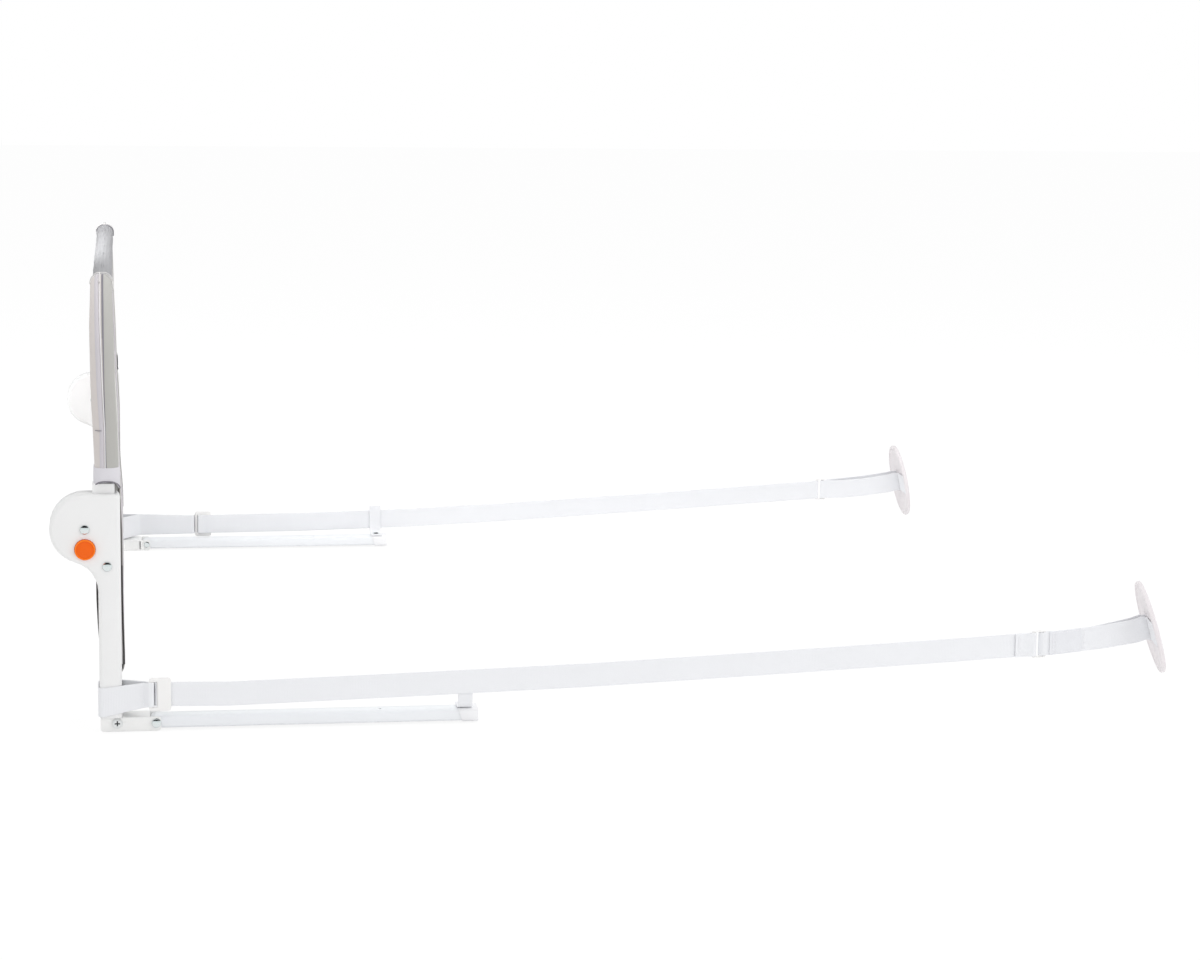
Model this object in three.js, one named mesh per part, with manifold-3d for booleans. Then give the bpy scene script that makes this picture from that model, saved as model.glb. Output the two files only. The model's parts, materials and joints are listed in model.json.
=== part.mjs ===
// Folding bed guard rail: a fabric-covered frame that swings down on two hubs, with two
// under-mattress arms and two webbing straps with round anchor plates.
// Millimetres, +Z up. X runs across the bed (the arms point to +X), Y along the rail.
import * as THREE from "three";
import { mergeVertices } from "three/addons/utils/BufferGeometryUtils.js";
import Module from "manifold-3d";

const wasm = await Module();
wasm.setup();

// Overall sizes and shared clearances
const railLength = 1100;
const railHeight = 450;
const fitGap = 0.3;
const overrun = 2;

// Legs and hubs. Depths along the rail are counted inward from the outer face of each end.
const endDepth = 36;
const legWidth = 22.4;
const hubRadius = 35;
const hubHeight = 207;
const shoulderRadius = 6;
const blendRadius = 31;
const edgeRounding = 4;
const shellWall = 2.4;
const frontShellDepth = 8;
const backWallDepth = 8;
const bossWall = 2.2;

// Rivets and screws
const rivetHeadRadius = 5;
const rivetHeadHeight = 2.6;
const rivetShankRadius = 3;
const rivetTailRadius = 4;
const rivetTailHeight = 1.4;
const screwHeadRadius = 5.2;
const screwFaceRadius = 3.6;
const screwHeadHeight = 2.2;
const screwShankRadius = 1.9;
const screwTip = 14;
const crossReach = 2.8;
const crossWidth = 1.2;
const crossDepth = 1.2;
const legRivetX = -2.2;
const legRivetDrop = 37.6;

// Release buttons and their springs
const buttonRadius = 10.4;
const buttonDrop = 20;
const buttonProud = 3;
const buttonInside = 4.4;
const buttonChamfer = 1.8;
const buttonFlangeWidth = 1.3;
const buttonFlangeDepth = 1.6;
const plungerRadius = 3.2;
const springWireRadius = 0.35;
const springCoilRadius = 2.5;
const springTurns = 3;
const springSeatWall = 1.5;
const windowInnerRadius = 11;
const windowRimWall = 5.2;
const windowTopReach = 6.5;
const windowFootReach = 8.5;

// Posts inside the legs and the bar between them
const postWidth = 18;
const postFoot = 1.9;
const postEndMargin = 1.4;
const lowerBarRadius = 7;
const lowerBarHeight = 62;
const lowerBarEndDepth = 12;
const tubeWall = 1.2;

// Swinging frame
const frameTubeRadius = 8;
const frameX = -5;
const cornerRadius = 110;
const socketWidth = 22;
const socketRise = 45;
const tubeInsertion = 26;
const middleTubeLength = 560;
const swageLength = 30;
const tubeHeadroom = 1.85;

// Fabric cover
const fabricWall = 1.6;
const coverOuterX = -16.5;
const coverInnerX = 8;
const coverEndDepth = 5;
const coverEdgeRadius = 10;
const hemRise = 4;
const hemClearance = 0.8;
const foldGap = 3;
const lowerCoverHalf = 13.4;
const lowerCoverTaper = 56;
const lowerCoverFootRadius = 9.2;

// Net windows of the cover, as a plain grid of openings
const netHalfLength = 452;
const netFoot = 104;
const netTop = 392;
const netCorner = 48;
const netColumns = 8;
const netUpperRows = 2;
const netBar = 4;
const netSeam = 5;

// Corner brackets and arms
const bracketFront = 3;
const bracketDepth = 30;
const bracketHeight = 14.3;
const bracketLeft = -10.6;
const bracketRight = 49.8;
const bracketCorner = 3;
const bracketCheek = 2.1;
const bracketRib = 2;
const bracketFloor = 1.6;
const bracketScrewX = 6;
const bracketScrewZ = 8.6;
const armPivotX = 45;
const armPivotZ = 7.9;
const armHeight = 12;
const armDepth = 25;
const armTip = 372;
const armCorner = 2.6;
const armSolidEnd = 9;
const armHoleX = 272;
const armHoleRadius = 1.7;
const endCapWall = 0.7;
const endCapTipWall = 2.2;
const endCapLength = 21;
const endCapSlant = 4.5;

// Straps, sliders, anchor plates and the keepers on the arms
const webbingWidth = 25;
const webbingThickness = 1.4;
const webbingSelfGap = 0.5;
const loopWidth = 30;
const loopZ = 31;
const loopRunOut = 26;
const glideThickness = 2.6;
const slotAllowance = 1;
const slider = { width: 22, height: 34, bar: 3.4, slot: 4.6, corner: 3 };
const adjuster = { width: 14.6, height: 28.8, bar: 2.6, slot: 9.4, corner: 1.3 };
const glideRun = 5;
const tailLength = 18;
const seamGap = 0.4;
const seamShare = 0.4;
const plateRadius = 50;
const plateThickness = 3;
const plateRimWidth = 4;
const plateRimHeight = 1;
const plateSlotHeight = 29;
const plateSlotWidth = 4;
const plateSlotSpacing = 16;
const plateApproach = 8;
const keeperWidth = 15;
const keeperThickness = 1.2;
const keeperX = 358;
const keeperTopZ = 52;
const keeperBend = 5;
const keeperHeadRadius = 4.2;
const keeperHeadHeight = 1.5;
const keeperShankRadius = 1.8;

// Places that differ between the two ends, as their webbing is drawn out. A route gives the
// strap's height [x, z] on its way; its points between slider and plate are placed by hand.
const nearSliderX = 48.8;
const nearSliderZ = 38.8;
const nearAdjusterX = 964.5;
const nearPlateX = 1087;
const nearPlateZ = 87;
const nearPlateTurnDeg = -10;
const nearPlateLeanDeg = 16;
const nearRoute = [
  [118, 37.5], [301, 42.6], [486, 48.3], [676, 56.8], [868, 66], [964, 71.3], [1032, 78.2],
];
const farSliderX = 122;
const farSliderZ = 29.7;
const farAdjusterX = 990;
const farPlateX = 1105;
const farPlateZ = 79;
const farPlateTurnDeg = 3;
const farPlateLeanDeg = 11;
const farRoute = [
  [260, 31], [407, 34.8], [535, 40.5], [660, 47.6], [790, 55], [917, 62.8], [990, 67], [1050, 72.4],
];

// Derived places
const ends = [
  {
    name: "near",
    side: -1,
    sliderX: nearSliderX,
    adjusterX: nearAdjusterX,
    plateX: nearPlateX,
    turnDeg: nearPlateTurnDeg,
    leanDeg: nearPlateLeanDeg,
    route: [[nearSliderX, nearSliderZ], ...nearRoute, [nearPlateX, nearPlateZ]],
  },
  {
    name: "far",
    side: 1,
    sliderX: farSliderX,
    adjusterX: farAdjusterX,
    plateX: farPlateX,
    turnDeg: farPlateTurnDeg,
    leanDeg: farPlateLeanDeg,
    route: [[farSliderX, farSliderZ], ...farRoute, [farPlateX, farPlateZ]],
  },
];
const halfLength = railLength / 2;
const midDepth = endDepth / 2;
const hubX = legWidth / 2 - hubRadius;
const hubTop = hubHeight + hubRadius;
const legBottom = bracketHeight + fitGap;
const shellJoint = frontShellDepth + fitGap;
const bayEnd = endDepth - backWallDepth;
const buttonZ = hubHeight - buttonDrop;
const legRivetZ = hubHeight - legRivetDrop;
const postTop = legRivetZ + rivetShankRadius + postEndMargin;
const frameTopZ = railHeight - fabricWall - tubeHeadroom - frameTubeRadius;
const socketTop = hubHeight + socketRise;
const hemHeight = socketTop + hemRise;
const lowerCoverTaperTop = lowerBarHeight + lowerCoverTaper;
const tubeFoot = socketTop - tubeInsertion;
const armInnerEnd = armPivotX - armHeight / 2;
const armFront = bracketFront + bracketCheek + fitGap;
const armEnd = armTip - endCapTipWall - fitGap;
const armTop = armPivotZ + armHeight / 2;
const armBottom = armPivotZ - armHeight / 2;
const armMidDepth = armFront + armDepth / 2;
const capTop = armTop + fitGap + endCapWall;
const webbingDepth = -(fitGap + webbingThickness / 2);
const layerStep = webbingThickness + webbingSelfGap;
const glideDepth = webbingDepth - (webbingThickness + glideThickness) / 2 - fitGap;
const overDepth = 2 * glideDepth - webbingDepth;
const slotWall = fitGap + webbingThickness / 2;

function plastic(color, roughness) {
  return new THREE.MeshStandardMaterial({ color, roughness, metalness: 0 });
}

function metal(color, roughness, metalness) {
  return new THREE.MeshStandardMaterial({ color, roughness, metalness });
}

const materials = {
  moulding: plastic("#e9eaea", 0.42),
  bracket: plastic("#e6e7e7", 0.45),
  button: plastic("#f16b21", 0.3),
  rotor: plastic("#eceded", 0.45),
  glide: plastic("#ecebeb", 0.4),
  plate: plastic("#e4dcde", 0.45),
  endCap: plastic("#eeeef0", 0.5),
  webbing: plastic("#edeef0", 0.9),
  fabric: plastic("#c3c0bb", 0.95),
  paintedTube: metal("#e8eaec", 0.3, 0.1),
  rivet: metal("#aeb6b8", 0.2, 1),
  spring: metal("#9a9fa2", 0.3, 1),
};

// Outlines: lists of 2D points, counter-clockwise

function point(x, y) {
  return new THREE.Vector2(x, y);
}

function arc(cx, cy, radius, fromDeg, toDeg, steps) {
  return Array.from({ length: steps + 1 }, (_, i) => {
    const angle = THREE.MathUtils.degToRad(fromDeg + ((toDeg - fromDeg) * i) / steps);
    return point(cx + radius * Math.cos(angle), cy + radius * Math.sin(angle));
  });
}

function circle(cx, cy, radius, steps) {
  return arc(cx, cy, radius, 0, 360, steps).slice(0, steps);
}

function roundedBox(x0, y0, x1, y1, radius, steps = 3) {
  return [
    ...arc(x1 - radius, y0 + radius, radius, -90, 0, steps),
    ...arc(x1 - radius, y1 - radius, radius, 0, 90, steps),
    ...arc(x0 + radius, y1 - radius, radius, 90, 180, steps),
    ...arc(x0 + radius, y0 + radius, radius, 180, 270, steps),
  ];
}

// Ribbon of an even thickness about an open path
function ribbonOutline(path, thickness) {
  const edges = [1, -1].map((way) => path.map((here, i) => {
    const before = path[Math.max(i - 1, 0)];
    const after = path[Math.min(i + 1, path.length - 1)];
    const tangent = after.clone().sub(before).normalize();
    return point(here.x - (way * tangent.y * thickness) / 2, here.y + (way * tangent.x * thickness) / 2);
  }));
  const outline = [...edges[1], ...edges[0].reverse()];
  return THREE.ShapeUtils.isClockWise(outline) ? outline.reverse() : outline;
}

// Hub housing that runs down into the leg, in X and Z, drawn in by an inset
function legOutline(inset, bottom) {
  const half = legWidth / 2 - inset;
  const blendX = -legWidth / 2 - blendRadius;
  const reach = hubRadius + blendRadius;
  const blendZ = hubHeight - reach * Math.sin(Math.acos((hubX - blendX) / reach));
  const turnDeg = THREE.MathUtils.radToDeg(Math.atan2(hubHeight - blendZ, hubX - blendX));
  return [
    point(half, bottom),
    ...arc(legWidth / 2 - shoulderRadius, hubTop - shoulderRadius, shoulderRadius - inset, 0, 90, 3),
    ...arc(hubX, hubHeight, hubRadius - inset, 90, 180 + turnDeg, 15),
    ...arc(blendX, blendZ, blendRadius + inset, turnDeg, 0, 6).slice(1),
    point(-half, bottom),
  ];
}

// Closed solids

function cleaned(geometry) {
  const bare = geometry.clone();
  bare.deleteAttribute("normal");
  bare.deleteAttribute("uv");
  const merged = mergeVertices(bare);
  const index = merged.index.array;
  const kept = [];
  for (let i = 0; i < index.length; i += 3) {
    const [a, b, c] = index.slice(i, i + 3);
    if (a !== b && b !== c && c !== a) kept.push(a, b, c);
  }
  merged.setIndex(kept);
  return merged;
}

function signedVolume(geometry) {
  const index = geometry.index.array;
  const [a, b, c] = [new THREE.Vector3(), new THREE.Vector3(), new THREE.Vector3()];
  let sum = 0;
  for (let i = 0; i < index.length; i += 3) {
    a.fromBufferAttribute(geometry.attributes.position, index[i]);
    b.fromBufferAttribute(geometry.attributes.position, index[i + 1]);
    c.fromBufferAttribute(geometry.attributes.position, index[i + 2]);
    sum += a.dot(b.cross(c));
  }
  return sum;
}

// A closed geometry with its faces pointing out
function outward(geometry) {
  const solid = cleaned(geometry);
  if (signedVolume(solid) < 0) {
    const index = solid.index.array;
    for (let i = 0; i < index.length; i += 3) {
      [index[i + 1], index[i + 2]] = [index[i + 2], index[i + 1]];
    }
  }
  solid.computeVertexNormals();
  return solid;
}

// Solid from rings of 3D points that have equal counts, closed by caps of the shape of a flat
// outline, or end to end when no outline is given
function skin(rings, firstFlat, lastFlat) {
  const count = rings[0].length;
  const spans = firstFlat ? rings.length - 1 : rings.length;
  const index = [];
  for (let r = 0; r < spans; r += 1) {
    const next = (r + 1) % rings.length;
    for (let i = 0; i < count; i += 1) {
      const j = (i + 1) % count;
      const [a, b, c, d] = [r * count + i, r * count + j, next * count + j, next * count + i];
      index.push(a, b, c, a, c, d);
    }
  }
  if (firstFlat) {
    const last = (rings.length - 1) * count;
    for (const [i, j, k] of THREE.ShapeUtils.triangulateShape(firstFlat, [])) index.push(i, k, j);
    for (const corners of THREE.ShapeUtils.triangulateShape(lastFlat, [])) {
      index.push(...corners.map((i) => last + i));
    }
  }
  const geometry = new THREE.BufferGeometry();
  const positions = rings.flat().flatMap((p) => [p.x, p.y, p.z]);
  geometry.setAttribute("position", new THREE.Float32BufferAttribute(positions, 3));
  geometry.setIndex(index);
  return outward(geometry);
}

const placings = {
  x: (at, p) => new THREE.Vector3(at, p.x, p.y),
  y: (at, p) => new THREE.Vector3(p.x, at, p.y),
  z: (at, p) => new THREE.Vector3(p.x, p.y, at),
};

// Loft through outlines that lie square to one axis: each section is [place on the axis, outline]
function loft(axis, sections) {
  const rings = sections.map(([at, outline]) => outline.map((p) => placings[axis](at, p)));
  return skin(rings, sections[0][1], sections[sections.length - 1][1]);
}

function slab(axis, outline, from, to) {
  return loft(axis, [[from, outline], [to, outline]]);
}

function box(x0, x1, y0, y1, z0, z1) {
  return slab("z", [point(x0, y0), point(x1, y0), point(x1, y1), point(x0, y1)], z0, z1);
}

// Solid of revolution about an upright axis or one along Y; the profile is [radius, place]
function turned(axis, a, b, profile, steps = 16) {
  const geometry = new THREE.LatheGeometry(profile.map(([r, at]) => point(r, at)), steps);
  if (axis === "z") {
    geometry.rotateX(Math.PI / 2);
    geometry.translate(a, b, 0);
  } else {
    geometry.translate(a, 0, b);
  }
  return outward(geometry);
}

function pin(axis, a, b, radius, from, to, steps = 16) {
  return slab(axis, circle(a, b, radius, steps), from, to);
}

// Round bar along a path of points, its rings square to the path
function roundBar(path, radius, steps, across = new THREE.Vector3(1, 0, 0)) {
  const flat = circle(0, 0, radius, steps);
  const rings = path.map((here, i) => {
    const before = path[Math.max(i - 1, 0)];
    const after = path[Math.min(i + 1, path.length - 1)];
    const tangent = after.clone().sub(before).normalize();
    const side = across.clone().addScaledVector(tangent, -across.dot(tangent)).normalize();
    const upward = tangent.clone().cross(side);
    return flat.map((p) => here.clone().addScaledVector(side, p.x).addScaledVector(upward, p.y));
  });
  return skin(rings, flat, flat);
}

// Webbing: a thin upright band through stations of x, depth, z, width and lean
function band(stations) {
  const flat = [point(0, 0), point(1, 0), point(1, 1), point(0, 1)];
  const rings = stations.map((station, i) => {
    const here = point(station.x, station.depth);
    const before = stations[Math.max(i - 1, 0)];
    const after = stations[Math.min(i + 1, stations.length - 1)];
    const into = here.clone().sub(point(before.x, before.depth));
    const out = point(after.x, after.depth).sub(here);
    if (i === 0) into.copy(out);
    if (i === stations.length - 1) out.copy(into);
    const tangent = into.normalize().add(out.normalize()).normalize();
    const spread = webbingThickness / 2 / tangent.dot(out);
    const [nx, ny] = [-tangent.y * spread, tangent.x * spread];
    const half = station.width / 2;
    const shift = half * station.lean;
    return [
      new THREE.Vector3(here.x - nx + shift, here.y - ny, station.z - half),
      new THREE.Vector3(here.x + nx + shift, here.y + ny, station.z - half),
      new THREE.Vector3(here.x + nx - shift, here.y + ny, station.z + half),
      new THREE.Vector3(here.x - nx - shift, here.y - ny, station.z + half),
    ];
  });
  return skin(rings, flat, flat);
}

function toManifold(geometry) {
  const solid = cleaned(geometry);
  return new wasm.Manifold(new wasm.Mesh({
    numProp: 3,
    vertProperties: new Float32Array(solid.attributes.position.array),
    triVerts: new Uint32Array(solid.index.array),
  }));
}

function fromManifold(solid) {
  const mesh = solid.getMesh();
  const geometry = new THREE.BufferGeometry();
  geometry.setAttribute("position", new THREE.BufferAttribute(new Float32Array(mesh.vertProperties), 3));
  geometry.setIndex(Array.from(mesh.triVerts));
  return outward(geometry);
}

function joined(...geometries) {
  return fromManifold(geometries.map(toManifold).reduce((a, b) => a.add(b)));
}

function cut(geometry, ...tools) {
  return fromManifold(tools.map(toManifold).reduce((a, b) => a.subtract(b), toManifold(geometry)));
}

// Quarter-round edge as [depth, inset] pairs, from the face to the side
function roundedEdge(radius, steps = 3) {
  return Array.from({ length: steps + 1 }, (_, i) => {
    const angle = (i / steps) * (Math.PI / 2);
    return [radius * (1 - Math.cos(angle)), radius * (1 - Math.sin(angle))];
  });
}

// Sections for a slab with both rims rounded: outlineAt gives the outline for an inset
function pillowSections(from, to, radius, outlineAt, steps = 3) {
  const edge = roundedEdge(radius, steps);
  const first = edge.map(([depth, inset]) => [from + depth, outlineAt(inset)]);
  const last = edge.map(([depth, inset]) => [to - depth, outlineAt(inset)]);
  return [...first, ...last.reverse()];
}

// Parts of an end are drawn at their depth from its outer face, and this puts them at the near
// or the far end, which are mirror images
function atEnd(geometry, side) {
  const placed = geometry.clone();
  placed.scale(1, -side, 1);
  placed.translate(0, side * halfLength, 0);
  return outward(placed);
}

// Leg and hub

function legFrontShell() {
  const edge = roundedEdge(edgeRounding).map(([depth, inset]) => [depth, legOutline(inset, legBottom)]);
  const body = loft("y", [...edge, [frontShellDepth, legOutline(0, legBottom)]]);
  const pocketOutline = legOutline(shellWall, legBottom + shellWall);
  const pocket = slab("y", pocketOutline, shellWall, frontShellDepth + overrun);
  const flangeBore = buttonRadius + buttonFlangeWidth + fitGap;
  const bossStart = shellWall / 2;
  const through = frontShellDepth + overrun;
  return cut(
    joined(
      cut(body, pocket),
      pin("y", hubX, hubHeight, rivetShankRadius + bossWall, bossStart, frontShellDepth),
      pin("y", legRivetX, legRivetZ, rivetShankRadius + bossWall, bossStart, frontShellDepth),
      pin("y", hubX, buttonZ, flangeBore + bossWall, bossStart, frontShellDepth, 24),
    ),
    pin("y", hubX, hubHeight, rivetShankRadius + fitGap, -overrun, through),
    pin("y", legRivetX, legRivetZ, rivetShankRadius + fitGap, -overrun, through),
    pin("y", hubX, buttonZ, buttonRadius + fitGap, -overrun, through, 24),
    pin("y", hubX, buttonZ, flangeBore, shellWall, through, 24),
  );
}

// The back shell holds the post and leaves an open bay for the drum of the hub and its socket
function legBackShell() {
  const edge = roundedEdge(edgeRounding).reverse();
  const rim = edge.map(([depth, inset]) => [endDepth - depth, legOutline(inset, legBottom)]);
  const body = loft("y", [[shellJoint, legOutline(0, legBottom)], ...rim]);
  const bayStart = shellJoint - overrun;
  const farLeft = hubX - hubRadius - overrun;
  const socketRight = frameX + socketWidth / 2 + fitGap;
  const foldedRight = 2 * hubX - frameX + socketWidth / 2 + fitGap;
  const postHalf = postWidth / 2 + fitGap;
  return cut(
    body,
    pin("y", hubX, hubHeight, hubRadius + fitGap, bayStart, bayEnd, 40),
    box(farLeft, socketRight, bayStart, bayEnd, hubHeight, hubTop + overrun),
    box(farLeft, foldedRight, bayStart, bayEnd, lowerBarHeight, hubHeight),
    box(
      -postHalf, postHalf, midDepth - postHalf, midDepth + postHalf,
      legBottom - overrun, postTop + overrun,
    ),
    pin("y", 0, lowerBarHeight, lowerBarRadius + fitGap, midDepth, endDepth + overrun, 20),
    pin("y", hubX, hubHeight, rivetShankRadius + fitGap, bayStart, endDepth + overrun),
    pin("y", legRivetX, legRivetZ, rivetShankRadius + fitGap, bayStart, endDepth + overrun),
    pin("y", hubX, buttonZ, plungerRadius + fitGap, bayStart, endDepth - springSeatWall),
  );
}

// Drum between the two shells, with the socket for the frame's tube and the curved window that
// the button's plunger runs in as the frame swings down
function hubRotor() {
  const radius = hubRadius - fitGap;
  const [left, right] = [frameX - socketWidth / 2, frameX + socketWidth / 2];
  const angleAt = (x, r) => THREE.MathUtils.radToDeg(Math.acos(x / r));
  const outline = [
    point(right, socketTop),
    point(left, socketTop),
    ...arc(hubX, hubHeight, radius, angleAt(left - hubX, radius), 360 + angleAt(right - hubX, radius), 30),
  ];
  const rim = radius - windowRimWall;
  const [top, foot] = [windowTopReach, windowFootReach];
  const slot = [
    ...arc(hubX, hubHeight, rim, angleAt(top, rim), 360 - angleAt(foot, rim), 18),
    ...arc(
      hubX, hubHeight, windowInnerRadius,
      360 - angleAt(foot, windowInnerRadius), angleAt(top, windowInnerRadius), 12,
    ),
  ];
  const [front, back] = [shellJoint, bayEnd - fitGap];
  return cut(
    slab("y", outline, front, back),
    slab("y", slot, front - overrun, back + overrun),
    pin("y", hubX, hubHeight, rivetShankRadius + fitGap, front - overrun, back + overrun),
    pin("z", frameX, midDepth, frameTubeRadius + fitGap, tubeFoot - fitGap, socketTop + overrun, 20),
  );
}

// Fasteners

function domeRivet(x, z, headBase, tailBase) {
  const dome = arc(0, headBase, 1, -90, 0, 4).map((p) =>
    [p.x * rivetHeadRadius, headBase + (p.y - headBase) * rivetHeadHeight]);
  return turned("y", x, z, [
    ...dome,
    [rivetShankRadius, headBase],
    [rivetShankRadius, tailBase],
    [rivetTailRadius, tailBase],
    [rivetShankRadius, tailBase + rivetTailHeight],
    [0, tailBase + rivetTailHeight],
  ]);
}

function crossHeadScrew(x, z, headBase) {
  const face = headBase - screwHeadHeight;
  const body = turned("y", x, z, [
    [0, face],
    [screwFaceRadius, face],
    [screwHeadRadius, headBase - screwHeadHeight / 2],
    [screwHeadRadius, headBase],
    [screwShankRadius, headBase],
    [screwShankRadius, screwTip - screwShankRadius],
    [0, screwTip],
  ]);
  const [top, floor, half] = [face - overrun, face + crossDepth, crossWidth / 2];
  return cut(
    body,
    box(x - crossReach, x + crossReach, top, floor, z - half, z + half),
    box(x - half, x + half, top, floor, z - crossReach, z + crossReach),
  );
}

function releaseButton() {
  const face = -buttonProud;
  const flange = buttonInside - buttonFlangeDepth;
  return turned("y", hubX, buttonZ, [
    [0, face],
    [buttonRadius - buttonChamfer, face],
    [buttonRadius - buttonChamfer / 3, face + buttonChamfer / 3],
    [buttonRadius, face + buttonChamfer],
    [buttonRadius, flange],
    [buttonRadius + buttonFlangeWidth, flange],
    [buttonRadius + buttonFlangeWidth, buttonInside],
    [plungerRadius, buttonInside],
    [plungerRadius, bayEnd - fitGap],
    [0, bayEnd - fitGap],
  ], 24);
}

function buttonSpring() {
  const start = bayEnd + springWireRadius;
  const end = endDepth - springSeatWall - fitGap - springWireRadius;
  const steps = springTurns * 16;
  const path = Array.from({ length: steps + 1 }, (_, i) => {
    const angle = (i / steps) * springTurns * 2 * Math.PI;
    const depth = start + ((end - start) * i) / steps;
    const [x, z] = [springCoilRadius * Math.cos(angle), springCoilRadius * Math.sin(angle)];
    return new THREE.Vector3(hubX + x, depth, buttonZ + z);
  });
  return roundBar(path, springWireRadius, 6, new THREE.Vector3(0, 1, 0));
}

// Tubes

function legPost() {
  const half = postWidth / 2;
  const inner = half - tubeWall;
  const [front, back] = [midDepth - half, midDepth + half];
  return cut(
    box(-half, half, front, back, postFoot, postTop),
    box(-inner, inner, midDepth - inner, midDepth + inner, postFoot - overrun, postTop + overrun),
    pin("y", legRivetX, legRivetZ, rivetShankRadius + fitGap, front - overrun, back + overrun),
    pin("y", 0, lowerBarHeight, lowerBarRadius + fitGap, midDepth, back + overrun, 20),
    pin("y", bracketScrewX, bracketScrewZ, screwShankRadius + fitGap, front - overrun, midDepth),
  );
}

function hollowTube(path, radius, steps) {
  const first = path[0].clone().sub(path[1]).setLength(overrun).add(path[0]);
  const last = path.at(-1).clone().sub(path.at(-2)).setLength(overrun).add(path.at(-1));
  return cut(roundBar(path, radius, steps), roundBar([first, ...path, last], radius - tubeWall, steps));
}

function lowerBar() {
  const end = halfLength - lowerBarEndDepth;
  const path = [-end, end].map((y) => new THREE.Vector3(0, y, lowerBarHeight));
  return hollowTube(path, lowerBarRadius, 20);
}

function sideTube() {
  const bendCentre = frameTopZ - cornerRadius;
  const bend = arc(midDepth + cornerRadius, bendCentre, cornerRadius, 180, 90, 14);
  const joint = halfLength - middleTubeLength / 2 - fitGap;
  const path = [point(midDepth, tubeFoot), ...bend, point(joint, frameTopZ)];
  return hollowTube(path.map((p) => new THREE.Vector3(frameX, p.x, p.y)), frameTubeRadius, 20);
}

function middleTube() {
  const half = middleTubeLength / 2;
  const spigot = frameTubeRadius - tubeWall - fitGap;
  const along = (y) => new THREE.Vector3(frameX, y, frameTopZ);
  const body = roundBar([along(-half), along(half)], frameTubeRadius, 20);
  const spigots = roundBar([along(-half - swageLength), along(half + swageLength)], spigot, 20);
  const bore = roundBar([along(-railLength), along(railLength)], spigot - tubeWall, 20);
  return cut(joined(body, spigots), bore);
}

// Fabric cover: the upper part swings with the frame, the lower part hangs about the lower bar

function coverShell(inset, bottom) {
  const wrap = cornerRadius + midDepth - coverEndDepth;
  const [end, top] = [halfLength - coverEndDepth, railHeight];
  const outlineAt = (edgeInset) => {
    const drawn = inset + edgeInset;
    return [
      point(-end + drawn, bottom),
      point(end - drawn, bottom),
      ...arc(end - wrap, top - wrap, wrap - drawn, 0, 90, 12),
      ...arc(-end + wrap, top - wrap, wrap - drawn, 90, 180, 12),
    ];
  };
  const [outer, inner] = [coverOuterX + inset, coverInnerX - inset];
  return loft("x", pillowSections(outer, inner, coverEdgeRadius - inset, outlineAt, 5));
}

// Tool that opens the net windows on both sides of the cover, between two heights
function netOpenings(foot, top, rows) {
  const [outer, inner] = [coverOuterX - overrun, lowerCoverHalf + overrun];
  const [low, high] = [netFoot - overrun, netTop + overrun];
  const end = netHalfLength + overrun;
  const outline = roundedBox(-netHalfLength, netFoot, netHalfLength, netTop, netCorner, 4);
  const bar = (y0, y1, z0, z1) => box(outer - overrun, inner + overrun, y0, y1, z0, z1);
  const bars = [bar(-end, end, low, foot), bar(-end, end, top, high)];
  for (let row = 1; row < rows; row++) {
    const z = foot + ((top - foot) * row) / rows;
    bars.push(bar(-end, end, z - netBar / 2, z + netBar / 2));
  }
  for (let column = 1; column < netColumns; column++) {
    const y = -netHalfLength + (2 * netHalfLength * column) / netColumns;
    bars.push(bar(y - netBar / 2, y + netBar / 2, low, high));
  }
  return cut(slab("x", outline, outer, inner), ...bars);
}

function upperCover() {
  const bottom = hubHeight + foldGap / 2;
  const cutEnd = halfLength - endDepth - hemClearance;
  const [left, right] = [coverOuterX - overrun, coverInnerX + overrun];
  return cut(
    coverShell(0, bottom),
    coverShell(fabricWall, bottom - overrun),
    box(left, right, -halfLength, -cutEnd, bottom - overrun, hemHeight),
    box(left, right, cutEnd, halfLength, bottom - overrun, hemHeight),
    netOpenings(bottom + netSeam, netTop, netUpperRows),
  );
}

function lowerCover() {
  const top = hubHeight - foldGap / 2;
  const side = (inset) => [
    point(lowerCoverHalf - inset, top),
    point(lowerCoverHalf - inset, lowerCoverTaperTop),
    ...arc(0, lowerBarHeight, lowerCoverFootRadius - inset, 0, -180, 14),
    point(-lowerCoverHalf + inset, lowerCoverTaperTop),
    point(-lowerCoverHalf + inset, top),
  ];
  const end = halfLength - endDepth - hemClearance;
  return cut(
    slab("y", [...side(fabricWall), ...side(0).reverse()], -end, end),
    netOpenings(netFoot, top - netSeam, 1),
  );
}

// Brackets and arms

function cornerBracket() {
  const [front, back] = [bracketFront, bracketFront + bracketDepth];
  const postHalf = postWidth / 2 + fitGap;
  const [forkFront, forkBack] = [front + bracketCheek, back - bracketCheek];
  const stop = armInnerEnd - fitGap;
  const top = bracketHeight + overrun;
  const deckBottom = bracketHeight - bracketFloor;
  return cut(
    slab("y", roundedBox(bracketLeft, 0, bracketRight, bracketHeight, bracketCorner), front, back),
    box(-postHalf, postHalf, midDepth - postHalf, midDepth + postHalf, bracketFloor, top),
    box(postHalf + bracketRib, stop - bracketRib, forkFront, back + overrun, bracketFloor, deckBottom),
    box(stop, bracketRight + overrun, forkFront, forkBack, bracketFloor, top),
    pin("y", armPivotX, armPivotZ, rivetShankRadius + fitGap, front - overrun, back + overrun),
    pin("y", bracketScrewX, bracketScrewZ, screwShankRadius + fitGap, front - overrun, midDepth),
  );
}

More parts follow.
